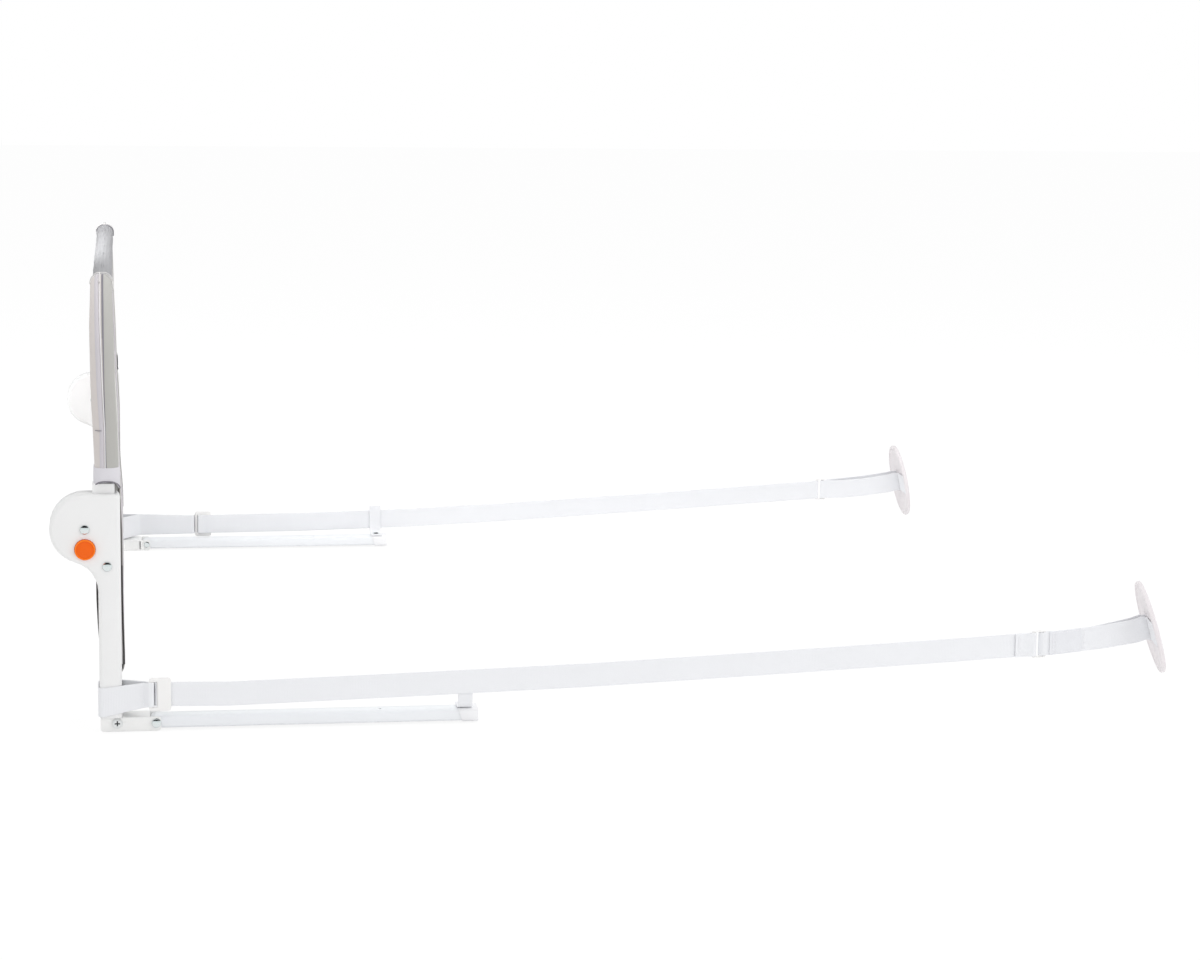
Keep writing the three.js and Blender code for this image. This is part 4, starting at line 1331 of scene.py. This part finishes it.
@dataclass
class Cover:
    """Fabric cover: corner sleeves and lower cloth with a knitted net over the frame between.

    The cover is one cloth, whose section leans with height. Its ends are drawn from the ridge,
    which runs up the rail's end, round the corner and along the top, by insets from that ridge.
    """

    place: RailPlace
    finishes: dict[str, bpy.types.Material]
    end_y: float = 545.0
    top_z: float = 450.0
    hem_z: float = 256.0
    corner: float = 123.0
    ridge: float = 10.0
    panel_inset: float = 31.8
    inner_y: float = 513.2
    sill_z: float = 62.0
    sill_drop: float = 12.5
    window_y: float = 452.0
    window_low: float = 104.0
    window_high: float = 392.0
    window_corner: float = 48.0
    sleeve_end: float = 386.0
    sleeve_sweep: float = 1.2
    cloth: float = 1.0
    net_margin: float = 4.0
    net_pitch: tuple[float, float] = (4.5, 6.0)
    net_strand: float = 0.8
    net_thickness: float = 0.5
    fold: tuple[float, float] = (182.0, 240.0)
    worn_above: float = 165.0
    # How far the sides sag between the tubes, draw in over the top tube, and drift on the way
    sag: float = 2.3
    far_sag: float = 1.0
    far_drift: float = 1.2
    tube_draw: float = 1.3
    tube_drift: float = 0.5
    # How high the cloth's folds stand, and where the pleat beside the ridge lies
    soft_fold: float = 0.5
    gather: float = 1.4
    ripple: float = 0.7
    pleat: float = 0.9
    pleat_inset: float = 12.5
    pleat_width: float = 1.6
    # Height, then middle and half thickness of the cover's section there
    profile: tuple[tuple[float, float, float], ...] = (
        (48, 2.4, 11.6),
        (75, 1.8, 12.1),
        (105, 0.4, 12.7),
        (130, -0.2, 13.0),
        (200, -0.2, 13.0),
        (250, -1.6, 12.0),
        (266, -1.7, 11.9),
        (306, -2.9, 12.0),
        (350, -4.6, 12.0),
        (405, -5.2, 12.0),
        (450, -5.4, 11.2),
    )
    # Height, then X of the tape's outer edge, of its inner edge, and of the seam beside it
    tape: tuple[tuple[float, float, float, float], ...] = (
        (250, -8.4, -3.8, -2.2),
        (306, -8.0, -3.8, -2.7),
        (350, -10.4, -5.6, -3.6),
        (405, -11.9, -7.4, -4.7),
        (450, -12.0, -8.2, -5.2),
    )

    def section(self, y: float, z: float) -> tuple[float, float]:
        """Finds the cover's section at a place, where its sides sag between the tubes.

        Args:
            y: Distance from the rail's middle, with its sign.
            z: Height.

        Returns:
            X of the section's middle and half its thickness.
        """
        middle, half = between_rows(self.profile, z)
        between = eased((z - 85) / 60) * eased((445 - z) / 50)
        sag = self.sag * eased((505 - abs(y)) / 75) + self.far_sag * eased((y - 50) / 400)
        half -= between * sag
        middle -= between * self.far_drift * eased((y + 200) / 600)
        on_top = eased((z - 395) / 30)
        over_tube = on_top * eased((470 - abs(y)) / 190)
        far_sleeve = on_top * eased((y - 300) / 120)
        half -= self.tube_draw * max(over_tube, far_sleeve)
        return middle + self.tube_drift * over_tube, half

    def level(self, inset: float) -> float:
        """How level the ridge lies at an inset: 1 at its crest and 0 where the side begins."""
        return max(self.ridge - inset, 0) / self.ridge

    def round_ridge(self, side: Side, inset: float, raised: float, y: float, z: float) -> float:
        """Finds X of the surface where the ridge rounds over.

        Args:
            side: Side of the cover.
            inset: Distance in from the ridge.
            raised: How far the surface stands out of the cloth.
            y: Distance from the rail's middle, with its sign.
            z: Height.

        Returns:
            The surface's X.
        """
        upright = math.sqrt(1 - self.level(inset) ** 2)
        middle, half = self.section(y, z)
        return middle + side.value * (half - self.ridge * (1 - upright) + raised * upright)

    @staticmethod
    def steps() -> list[Step]:
        """Divides the way from a sleeve's hem to the middle of the top, finely where it gathers.

        Returns:
            The steps of the way.
        """
        steps = [(Way.RISE, i / 16) for i in range(16)] + [(Way.TURN, i / 24) for i in range(24)]
        steps += [(Way.RUN, i * 0.0075) for i in range(26)]
        return steps + [(Way.RUN, 0.195 + i * 0.035) for i in range(23)]

    def on_arch(self, step: Step, y: float, z: float, radius: float) -> tuple[float, float]:
        """Finds a step on an arch that rises at Y, turns a corner and runs at Z.

        Args:
            step: The step.
            y: Distance of the arch's end from the rail's middle.
            z: Height of the arch's top.
            radius: Radius of its corner.

        Returns:
            Distance from the rail's middle and height.
        """
        way, share = step
        if way is Way.RISE:
            return y, self.hem_z + (z - radius - self.hem_z) * share
        if way is Way.TURN:
            angle = math.radians(90 * share)
            return y - radius + radius * math.cos(angle), z - radius + radius * math.sin(angle)
        return (y - radius) * (1 - share), z

    def edge(self, step: Step, inset: float) -> tuple[float, float]:
        """Distance from the rail's middle and height of a step, drawn in from the ridge."""
        return self.on_arch(step, self.end_y - inset, self.top_z - inset, self.corner - inset)

    def wrinkle(self, side: Side, y: float, z: float, inset: float) -> float:
        """Finds how far the cloth stands out in folds: long soft ones, and gathers at the net.

        Args:
            side: Side of the cover.
            y: Distance from the rail's middle, with its sign.
            z: Height.
            inset: Distance in from the ridge.

        Returns:
            Height of the folds, negative in a dip.
        """
        sign = side.value
        height = self.soft_fold * noise.noise(Vector((y / 70, z / 110, sign * 3.7)))
        if z > self.top_z - 35:
            past = abs(y) - self.sleeve_end - inset * self.sleeve_sweep
            if 0 < past < 40:
                wave = math.exp(-past / 12) * math.sin(inset * 1.4 + sign)
                height += self.gather * min(past / 4, 1.0) * wave
            elif past <= 0:
                place = Vector((y / 38, inset / 5 + y / 60, sign * 2.3))
                height += self.ripple * noise.noise(place)
        if z > self.hem_z and inset < 40:
            from_pleat = (inset - self.pleat_inset) / self.pleat_width
            height -= self.pleat * math.exp(-(from_pleat**2))
        return height

    def at(
        self, side: Side, y: float, z: float, inset: float = 99.0, raised: float = 0.0
    ) -> Vector:
        """Finds a point on the cover's side, folds and all.

        Args:
            side: Side of the cover.
            y: Distance from the rail's middle, with its sign.
            z: Height.
            inset: Distance in from the ridge. Left out, the point is far from it.
            raised: How far the point stands out of the cloth.

        Returns:
            The point in metres.
        """
        x = self.round_ridge(side, inset, 0.0, y, z)
        out = raised + self.wrinkle(side, y, z, inset)
        return self.place.at(x + side.value * out, y, z)

    def at_step(self, end: End, step: Step, x: float, raised: float) -> Vector:
        """Finds a point on the ridge at X.

        Args:
            end: End of the rail.
            step: Step on the way round that end.
            x: X of the point.
            raised: How far the point stands out of the cloth.

        Returns:
            The point in metres.
        """
        y, z = self.edge(step, 0.0)
        middle, half = self.section(end.value * y, z)
        sign = 1 if x > middle else -1
        drop = min(max(half - abs(x - middle), 0.0), self.ridge)
        reach = math.sqrt(max(self.ridge**2 - (self.ridge - drop) ** 2, 0.0))
        level = reach / self.ridge
        y, z = self.edge(step, self.ridge - reach - raised * level)
        return self.place.at(x + sign * raised * (1 - level), end.value * y, z)

    @staticmethod
    def whole(half: Outline, middle: tuple[float, float]) -> Outline:
        """A path over both ends from the half on one of them."""
        return [(-y, z) for y, z in half] + [middle] + [(y, z) for y, z in reversed(half)]

    def arch(self, inset: float) -> Outline:
        """Path over the frame, in Y and Z, drawn in from the ridge."""
        half = [self.edge(step, inset) for step in self.steps()]
        return self.whole(half, (0.0, self.top_z - inset))

    def sill(self, wide: float, low: float, radius: float) -> Outline:
        """Draws the lower half of an outline, from its right side to its left.

        Args:
            wide: Distance of its ends from the rail's middle.
            low: Height of its lower edge.
            radius: Radius of its corners.

        Returns:
            Y and Z of its points.
        """
        path = [(wide, self.hem_z + (low + radius - self.hem_z) * i / 16) for i in range(1, 16)]
        for i in range(12):
            a = math.radians(90 * i / 12)
            path.append((wide - radius + radius * math.cos(a), low + radius - radius * math.sin(a)))
        path += [((wide - radius) * (1 - i / 30), low) for i in range(30)]
        return path + [(0.0, low)] + [(-a, b) for a, b in reversed(path)]

    def window(self, grow: float) -> Outline:
        """Draws a window's whole edge, with as many points as the cloth's edge.

        Args:
            grow: How far outside the window's own edge to draw it.

        Returns:
            Y and Z of its points, its upper half first.
        """
        wide, high = self.window_y + grow, self.window_high + grow
        radius = self.window_corner + grow
        upper = [self.on_arch(step, wide, high, radius) for step in self.steps()]
        return self.whole(upper, (0.0, high)) + self.sill(wide, self.window_low - grow, radius)

    def side_cloth(self, side: Side) -> list[bpy.types.Object]:
        """Cuts one side's cloth: round the ridge, round the window and under the bar.

        Args:
            side: Side of the cover.

        Returns:
            Its three parts.
        """
        insets = (0, 0.5, 1, 1.7, 2.5, 3.5, 4.7, 6, 7.5, 9, 10, 11, 12, 13, 14, 16, 18, 20, 24, 28)
        upper = [
            [self.at(side, y, z, inset) for y, z in self.arch(inset)]
            for inset in (*insets, self.panel_inset)
        ]
        sill = self.sill(self.inner_y, self.sill_z, 0.01)
        edge, hole = self.arch(self.panel_inset) + sill, self.window(0)
        around = []
        for i in range(11):
            t = i / 10
            ring = [(a + (c - a) * t, b + (d - b) * t) for (a, b), (c, d) in zip(edge, hole)]
            around.append([self.at(side, y, z, self.panel_inset + 60 * t) for y, z in ring])
        low = self.sill_z
        ys = [y for y, z in sill if z < low + 0.001]
        middle, half = between_rows(self.profile, low)
        under = [[self.at(side, y, low, self.panel_inset) for y in ys]]
        for i in range(1, 9):
            a = math.radians(90 * i / 8)
            x, z = middle + side.value * half * math.cos(a), low - self.sill_drop * math.sin(a)
            under.append([self.place.at(x, y, z) for y in ys])
        return [skinned("side", upper), skinned("ring", around, Skin.HOOP), skinned("under", under)]

    def ridge_cloth(self) -> bpy.types.Object:
        """Cloth along the ridge, between the two sides."""
        left, right = ([self.at(side, y, z, 0.0) for y, z in self.arch(0.0)] for side in Side)
        return skinned("ridge", [[a.lerp(b, i / 4) for a, b in zip(left, right)] for i in range(5)])

    def cover_cloth(self) -> bpy.types.Object:
        """Sews the whole cloth of its beige, grey-green and knitted parts.

        Returns:
            The cloth, with its thickness.
        """
        parts = [part for side in Side for part in self.side_cloth(side)] + [self.ridge_cloth()]
        cloth = parts[0]
        make_active(cloth)
        for piece in parts:
            piece.select_set(True)
        bpy.ops.object.join()
        cloth.name = cloth.data.name = "cover_cloth"
        open_all(cloth)
        bpy.ops.mesh.remove_doubles(threshold=0.05 * MM)
        bpy.ops.mesh.normals_make_consistent(inside=False)
        bpy.ops.object.mode_set(mode="OBJECT")
        highest = max(cloth.data.polygons, key=lambda face: face.center.z)
        if highest.normal.z < 0:
            cloth.data.flip_normals()
        thicken(cloth, self.cloth, -1.0)
        names = ("woven_polyester_beige", "woven_polyester_grey_green", "knitted_net_over_tube")
        dress(cloth, *(self.finishes[name] for name in names), crease=60)
        for face in cloth.data.polygons:
            x, y, z = (face.center - self.place.at(0, 0, 0)) / MM
            past = abs(y) - self.sleeve_end - max(self.top_z - z, 0) * self.sleeve_sweep
            if past < 0 and z > self.window_high:
                face.material_index = 2
            elif x > between_rows(self.tape, z)[2]:
                face.material_index = 1
        return cloth

    def blend(self, piece: bpy.types.Object) -> None:
        """Bakes a piece's place into its mesh; the fold line's ends are found, but nothing makes it
        bend there.

        Args:
            piece: Piece of cloth that crosses the fold line.
        """
        start, end = (self.place.at(0, 0, z) for z in self.fold)
        tuple(start)
        tuple(end)
        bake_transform(piece)
        LOG.info("%s bends between base and upper_frame", piece.name)

    def net(self, side: Side) -> bpy.types.Object:
        """Knits the net of one window: a lattice of diamonds that are inset and opened.

        Args:
            side: Side of the cover.

        Returns:
            The net.
        """
        margin, (step_y, step_z) = self.net_margin, self.net_pitch
        wide = self.window_y + margin
        low, high = self.window_low - margin, self.window_high + margin
        radius = self.window_corner + margin
        knots: dict[tuple[int, int], int] = {}
        faces = []
        for i in range(1, int(2 * wide / step_y)):
            for j in range(1, int((high - low) / step_z)):
                y, z = abs(-wide + i * step_y), low + j * step_z
                dy, dz = y - (wide - radius), max(low + radius - z, z - (high - radius))
                past_corner = dy > 0 and dz > 0 and math.hypot(dy, dz) > radius
                if (i + j) % 2 or past_corner:
                    continue
                diamond = ((i - 1, j), (i, j - 1), (i + 1, j), (i, j + 1))
                faces.append(tuple(knots.setdefault(knot, len(knots)) for knot in diamond))
        points = [
            self.at(side, -wide + i * step_y, low + j * step_z, raised=-0.6) for i, j in knots
        ]
        piece = piece_of(f"net_{side.label}_side", points, faces)
        open_all(piece)
        bpy.ops.mesh.inset(thickness=self.net_strand * MM, use_individual=True, use_boundary=True)
        bpy.ops.mesh.delete(type="ONLY_FACE")
        bpy.ops.object.mode_set(mode="OBJECT")
        thicken(piece, self.net_thickness, 0.0)
        return dress(piece, self.finishes["knitted_net_polyester"])

    def window_tape(self, side: Side) -> bpy.types.Object:
        """Sews the tape round a window's edge.

        Args:
            side: Side of the cover.

        Returns:
            The tape.
        """
        lines = ((-2.0, -0.2), (-1.5, 0.5), (0.0, 0.7), (9.0, 0.7), (10.5, 0.5), (11.0, 0.0))
        rows = [
            [self.at(side, y, z, raised=raised) for y, z in self.window(grow)]
            for grow, raised in lines
        ]
        piece = skinned(f"window_tape_{side.label}", rows, Skin.HOOP)
        return dress(piece, self.finishes["woven_lavender_tape"], crease=50)

    def sleeve_steps(self) -> list[Step]:
        """Steps of a sleeve, from its hem to the net's seam."""
        return [step for step in self.steps() if self.edge(step, 0)[0] > self.sleeve_end + 2]

    def ridge_band(
        self, end: End, name: str, first: int, last: int | None, raised: float, finish: str
    ) -> bpy.types.Object:
        """Lays a thin band up a sleeve.

        Args:
            end: End of the rail.
            name: The piece's name after the end's prefix.
            first: Which of the tape's lines it starts from.
            last: Which line it reaches, or None for a narrow band that widens upward.
            raised: How far it stands out of the cloth.
            finish: Name of its finish.

        Returns:
            The band.
        """
        sides = []
        for step in self.sleeve_steps():
            z = self.edge(step, 0)[1]
            lines = between_rows(self.tape, z)
            narrow = lines[first] + 0.8 + 1.3 * eased((z - 330) / 100)
            sides.append((step, lines[first], narrow if last is None else lines[last]))
        lifts = ((0.0, -0.5), (0.1, 0.0), (0.5, 0.1), (0.9, 0.0), (1.0, -0.5))
        rows = [
            [
                self.at_step(end, step, left + (right - left) * t, raised + lift)
                for step, left, right in sides
            ]
            for t, lift in lifts
        ]
        return dress(skinned(f"{end.prefix}_{name}", rows), self.finishes[finish], crease=60)

    def thread(
        self, name: str, points: list[Vector], radius: float, finish: str
    ) -> bpy.types.Object:
        """Draws a round thread or piping.

        Args:
            name: Name of the piece.
            points: Points of its middle line in metres.
            radius: Its radius.
            finish: Name of its finish.

        Returns:
            The thread.
        """
        turns = [math.tau * k / 6 for k in range(6)]
        rings = []
        for i, here in enumerate(points):
            before, after = points[max(i - 1, 0)], points[min(i + 1, len(points) - 1)]
            tangent = (after - before).normalized()
            side = tangent.cross(Vector((0, 1, 0.3))).normalized()
            up = side.cross(tangent)
            rings.append(
                [here + (side * math.cos(a) + up * math.sin(a)) * radius * MM for a in turns]
            )
        return dress(skinned(name, rings, Skin.SOLID), self.finishes[finish], crease=80)

    def across_top(self, end: End, y: float, raised: float) -> list[Vector]:
        """Draws a line across the top from one side to the other, swept toward the end.

        Args:
            end: End of the rail.
            y: Distance of the line's middle from the rail's middle.
            raised: How far it stands out of the cloth.

        Returns:
            Its points in metres.
        """
        points = []
        for side, insets in (
            (Side.OUTER, (9, 7, 5, 3, 1.5, 0.5)),
            (Side.MATTRESS, (0.5, 1.5, 3, 5, 7, 9, 11, 13, 15)),
        ):
            for inset in insets:
                z = self.top_z - inset
                x = self.round_ridge(side, inset, raised, end.value * y, z)
                out = end.value * (y + inset * self.sleeve_sweep)
                points.append(self.place.at(x, out, z + raised * self.level(inset)))
        return points

    def sleeve_details(self, end: End) -> list[bpy.types.Object]:
        """Sews one sleeve's tape, seams and bar tack.

        Args:
            end: End of the rail.

        Returns:
            Their pieces.
        """
        prefix = end.prefix
        # The grey seam, seam threads, tack and piping carry the painted shade of their creases
        pieces = [
            self.ridge_band(end, "sleeve_tape", 0, 1, 0.6, "woven_lavender_tape"),
            self.ridge_band(end, "sleeve_seam", 2, None, 0.35, "dark_seam_thread"),
        ]
        fold = []
        for step in self.sleeve_steps():
            inner_edge = between_rows(self.tape, self.edge(step, 0)[1])[1]
            fold.append(self.at_step(end, step, inner_edge + 0.9, 0.5))
        pieces.append(self.thread(f"{prefix}_sleeve_fold", fold, 0.45, "sewing_thread"))
        net_seams = (
            (-2, 0.7, "dark_seam_thread"),
            (5, 1.2, "knitted_net_polyester"),
            (12, 0.8, "dark_seam_thread"),
            (20, 0.8, "knitted_net_polyester"),
        )
        for number, (past, radius, finish) in enumerate(net_seams):
            line = self.across_top(end, self.sleeve_end + past, 0.5)
            pieces.append(self.thread(f"{prefix}_net_seam_{number}", line, radius, finish))
        tack_step = (Way.RISE, (305.5 - self.hem_z) / 71)
        tack = [self.at_step(end, tack_step, x, 0.8) for x in (-12, -10.5, -9, -7.5, -6)]
        pieces.append(self.thread(f"{prefix}_bar_tack", tack, 0.4, "dark_seam_thread"))
        return pieces

    def hem_point(self, end: End, side: Side, inset: float, z: float, raised: float) -> Vector:
        """Finds a point of the hem's band.

        Args:
            end: End of the rail.
            side: Side of the cover.
            inset: Distance in from the ridge.
            z: Height.
            raised: How far the point stands out of the cloth.

        Returns:
            The point in metres.
        """
        x = self.round_ridge(side, inset, raised, end.value * self.end_y, z)
        out = end.value * (self.end_y - inset + raised * self.level(inset))
        return self.place.at(x, out, z)

    def hem(self, end: End) -> list[bpy.types.Object]:
        """Sews the band round a sleeve's lower end, cut in an arch over the tube, and its piping.

        Args:
            end: End of the rail.

        Returns:
            The band and the piping.
        """
        insets = (31, 26, 21, 16, 13, 10, 7.5, 5, 3, 1.5, 0.5, 0)
        outline = [(Side.MATTRESS, inset, 246.5 + 8.0 * self.level(inset)) for inset in insets]
        outline += [(Side.OUTER, inset, low) for _, inset, low in reversed(outline)]
        top = 268
        lines = ((0, -0.6), (0, 0.5), (0.12, 1.0), (0.5, 1.3), (0.9, 1.1), (1, 0.7), (1, -0.2))
        rows = [
            [
                self.hem_point(end, side, inset, low + (top - low) * t, raised)
                for side, inset, low in outline
            ]
            for t, raised in lines
        ]
        band = skinned(f"{end.prefix}_sleeve_hem", rows)
        dress(band, self.finishes["woven_lavender_hem"], crease=50)
        edge = [
            self.hem_point(end, side, inset, low, 0.9)
            for side, inset, low in outline
            if inset <= 13
        ]
        return [band, self.thread(f"{end.prefix}_hem_piping", edge, 0.7, "dark_seam_thread")]

    def open_edge(self) -> list[float]:
        """Heights up the open edge of the lower cloth."""
        return [self.sill_z + i * 6.0 for i in range(32)]

    def edge_binding(self, end: End, side: Side) -> bpy.types.Object:
        """Binds the open edge of the lower cloth: charcoal and painted shade below, paler above a
        height.

        Args:
            end: End of the rail.
            side: Side of the cover.

        Returns:
            The binding.
        """
        rows = []
        for past, raised in ((0, -1.2), (0.8, -0.8), (1, -0.2), (0.4, 0.4), (-3.6, 0.5), (-4.2, 0)):
            y = end.value * (self.inner_y + past)
            rows.append([self.at(side, y, z, self.panel_inset, raised) for z in self.open_edge()])
        piece = skinned(f"{end.prefix}_edge_binding_{side.label}", rows)
        binding = (self.finishes[name] for name in ("charcoal_binding", "worn_grey_binding"))
        dress(piece, *binding, crease=50)
        # Faces above the height take the paler painted shade, those below the darker
        for face in piece.data.polygons:
            face.material_index = int(face.center.z > self.worn_above * MM)
        return piece

    def end_panel(self, end: End) -> bpy.types.Object:
        """Closes the lower cloth's end between its two bindings.

        Args:
            end: End of the rail.

        Returns:
            The panel.
        """
        inside, outside = self.inner_y - 2.0, self.inner_y - 1.0
        rings = []
        for z in self.open_edge():
            middle, half = self.section(end.value * self.inner_y, z)
            reach = half - 1.5
            square = ((-reach, inside), (reach, inside), (reach, outside), (-reach, outside))
            rings.append([self.place.at(middle + x, end.value * y, z) for x, y in square])
        piece = skinned(f"{end.prefix}_end_panel", rings, Skin.SOLID)
        return dress(piece, self.finishes["knitted_net_polyester"], crease=50)

    def build(self) -> None:
        """Makes the cover's pieces, and bakes the place of those at the fold line into their
        meshes.
        """
        cloth = self.cover_cloth()
        self.blend(cloth)
        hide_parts("cover_upper", "cover_lower")
        for side in Side:
            self.blend(self.net(side))
            self.blend(self.window_tape(side))
            for end in End:
                self.blend(self.edge_binding(end, side))
        for end in End:
            self.blend(self.end_panel(end))
            for piece in self.sleeve_details(end) + self.hem(end):
                finish_piece(piece, "cover", "upper_frame")


@dataclass(frozen=True)
class Lamp:
    """Square area lamp: where it hangs and what it aims at in metres, its size and its watts."""

    name: str
    hangs: tuple[float, float, float]
    size: float
    watts: float
    aim: tuple[float, float, float] = (0.0, 0.2, 0.2)


# What the two fill lamps aim at: the far hub and the sleeve above it
FAR_END = (-0.5, 0.6, 0.2)
LAMPS = (
    Lamp("overhead", (0.1, 0.2, 3.2), 4.0, 46.0),
    Lamp("front", (-1.2, -3.4, 1.2), 2.0, 7.0),
    Lamp("side", (1.6, -1.8, 0.9), 1.6, 7.0),
    Lamp("far_hub_fill", (-0.75, 0.0, 0.7), 0.4, 2.0, FAR_END),
    Lamp("far_end_fill", (-0.4, -0.1, 1.1), 0.8, 1.2, FAR_END),
)


@dataclass
class Studio:
    """Camera at the photograph's view, soft light, a pale floor and a white surround.

    The camera stands at a place in rail coordinates, and its angles are in degrees.
    """

    place: RailPlace
    location: tuple[float, float, float] = (15.0, -3508.2, 699.2)
    yaw: float = 9.213
    pitch: float = 8.505
    roll: float = 0.696
    lens: float = 89.12
    sensor: float = 36.0
    floor_size: float = 24.0
    floor_white: float = 0.86

    def camera(self) -> None:
        """Places the camera by its yaw, pitch and roll."""
        yaw, pitch, roll = (math.radians(a) for a in (self.yaw, self.pitch, self.roll))
        level = Vector((math.cos(yaw), -math.sin(yaw), 0))
        flat = math.cos(pitch)
        forward = Vector((math.sin(yaw) * flat, math.cos(yaw) * flat, -math.sin(pitch)))
        upright = level.cross(forward)
        right = math.cos(roll) * level + math.sin(roll) * upright
        up = -math.sin(roll) * level + math.cos(roll) * upright
        data = bpy.data.cameras.new("Camera")
        data.lens, data.sensor_width = self.lens, self.sensor
        data.clip_start, data.clip_end = 0.1, 50.0
        camera = bpy.data.objects.new("Camera", data)
        rotation = Matrix((right, up, -forward)).transposed().to_4x4()
        camera.matrix_world = Matrix.Translation(self.place.at(*self.location)) @ rotation
        bpy.context.scene.collection.objects.link(camera)
        bpy.context.scene.camera = camera

    def floor(self) -> None:
        """Lays the floor: white where the camera sees it bare, and darker where shaded."""
        deselect_all()
        bpy.ops.mesh.primitive_plane_add(size=self.floor_size, location=(0, 3, -0.0006))
        floor = bpy.context.object
        floor.name = "floor"
        material = bpy.data.materials.new("studio_floor")
        material.use_nodes = True
        tree = material.node_tree
        tree.nodes.clear()
        rays = add_node(tree, "ShaderNodeLightPath").outputs
        white = add_node(tree, "ShaderNodeEmission", Color=(1, 1, 1, 1), Strength=1.03)
        matte = add_node(tree, "ShaderNodeBsdfDiffuse", Color=linear("#F4F4F4"))
        seen = add_node(
            tree,
            "ShaderNodeMath",
            {"operation": "MAXIMUM"},
            in_0=rays["Is Camera Ray"],
            in_1=rays["Is Glossy Ray"],
        )
        share = add_node(
            tree,
            "ShaderNodeMath",
            {"operation": "MULTIPLY"},
            in_0=seen.outputs["Value"],
            in_1=self.floor_white,
        )
        mix = add_node(
            tree,
            "ShaderNodeMixShader",
            in_0=share.outputs["Value"],
            in_1=matte.outputs["BSDF"],
            in_2=white.outputs["Emission"],
        )
        add_node(tree, "ShaderNodeOutputMaterial", Surface=mix.outputs["Shader"])
        dress(floor, material)

    def world(self) -> None:
        """Makes the surround: soft light, white where it is seen, dark overhead in reflections."""
        world = bpy.data.worlds.new("studio_world")
        bpy.context.scene.world = world
        world.use_nodes = True
        tree = world.node_tree
        coordinates = add_node(tree, "ShaderNodeTexCoord")
        height = add_node(tree, "ShaderNodeSeparateXYZ", Vector=coordinates.outputs["Generated"])
        ramp = add_node(tree, "ShaderNodeValToRGB", Fac=height.outputs["Z"])
        stops = ((0.38, (0.93, 0.97, 0.97, 1)), (0.49, (0.02, 0.02, 0.022, 1)))
        for element, (position, shade) in zip(ramp.color_ramp.elements, stops):
            element.position, element.color = position, shade
        rays = add_node(tree, "ShaderNodeLightPath").outputs
        reflected = add_node(
            tree,
            "ShaderNodeMix",
            {"data_type": "RGBA"},
            in_0=rays["Is Glossy Ray"],
            in_6=(0.78, 0.78, 0.78, 1),
            in_7=ramp.outputs["Color"],
        )
        seen = add_node(
            tree,
            "ShaderNodeMath",
            {"operation": "MAXIMUM"},
            in_0=rays["Is Camera Ray"],
            in_1=rays["Is Transmission Ray"],
        )
        colour = add_node(
            tree,
            "ShaderNodeMix",
            {"data_type": "RGBA"},
            in_0=seen.outputs["Value"],
            in_6=reflected.outputs[2],
            in_7=(1, 1, 1, 1),
        )
        background = tree.nodes["Background"]
        background.inputs["Strength"].default_value = 1.0
        tree.links.new(colour.outputs[2], background.inputs["Color"])

    def lamps(self) -> None:
        """Hangs large soft lamps, which polished metal doesn't mirror."""
        for lamp in LAMPS:
            data = bpy.data.lights.new(lamp.name, "AREA")
            data.size, data.energy = lamp.size, lamp.watts
            light = bpy.data.objects.new(lamp.name, data)
            light.location = lamp.hangs
            aim = Vector(lamp.aim) - light.location
            light.rotation_euler = aim.to_track_quat("-Z", "Y").to_euler()
            light.visible_glossy = False
            bpy.context.scene.collection.objects.link(light)

    def build(self) -> None:
        """Sets the stage."""
        bpy.context.scene.view_settings.view_transform = "Standard"
        self.camera()
        self.floor()
        self.world()
        self.lamps()


def main() -> None:
    """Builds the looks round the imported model."""
    logging.basicConfig(level=logging.INFO, format="%(message)s")
    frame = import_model()
    deselect_all()
    place = RailPlace.from_frame()
    Studio(place).build()
    finishes = {finish.name: finish.build() for finish in FINISHES}
    rigid = RigidPieces(place, finishes)
    rigid.copies(frame["nodes"])
    for end in End:
        rigid.additions(end)
        Webbings(end, place, finishes).build()
    Cover(place, finishes).build()


if __name__ == "__main__":
    main()
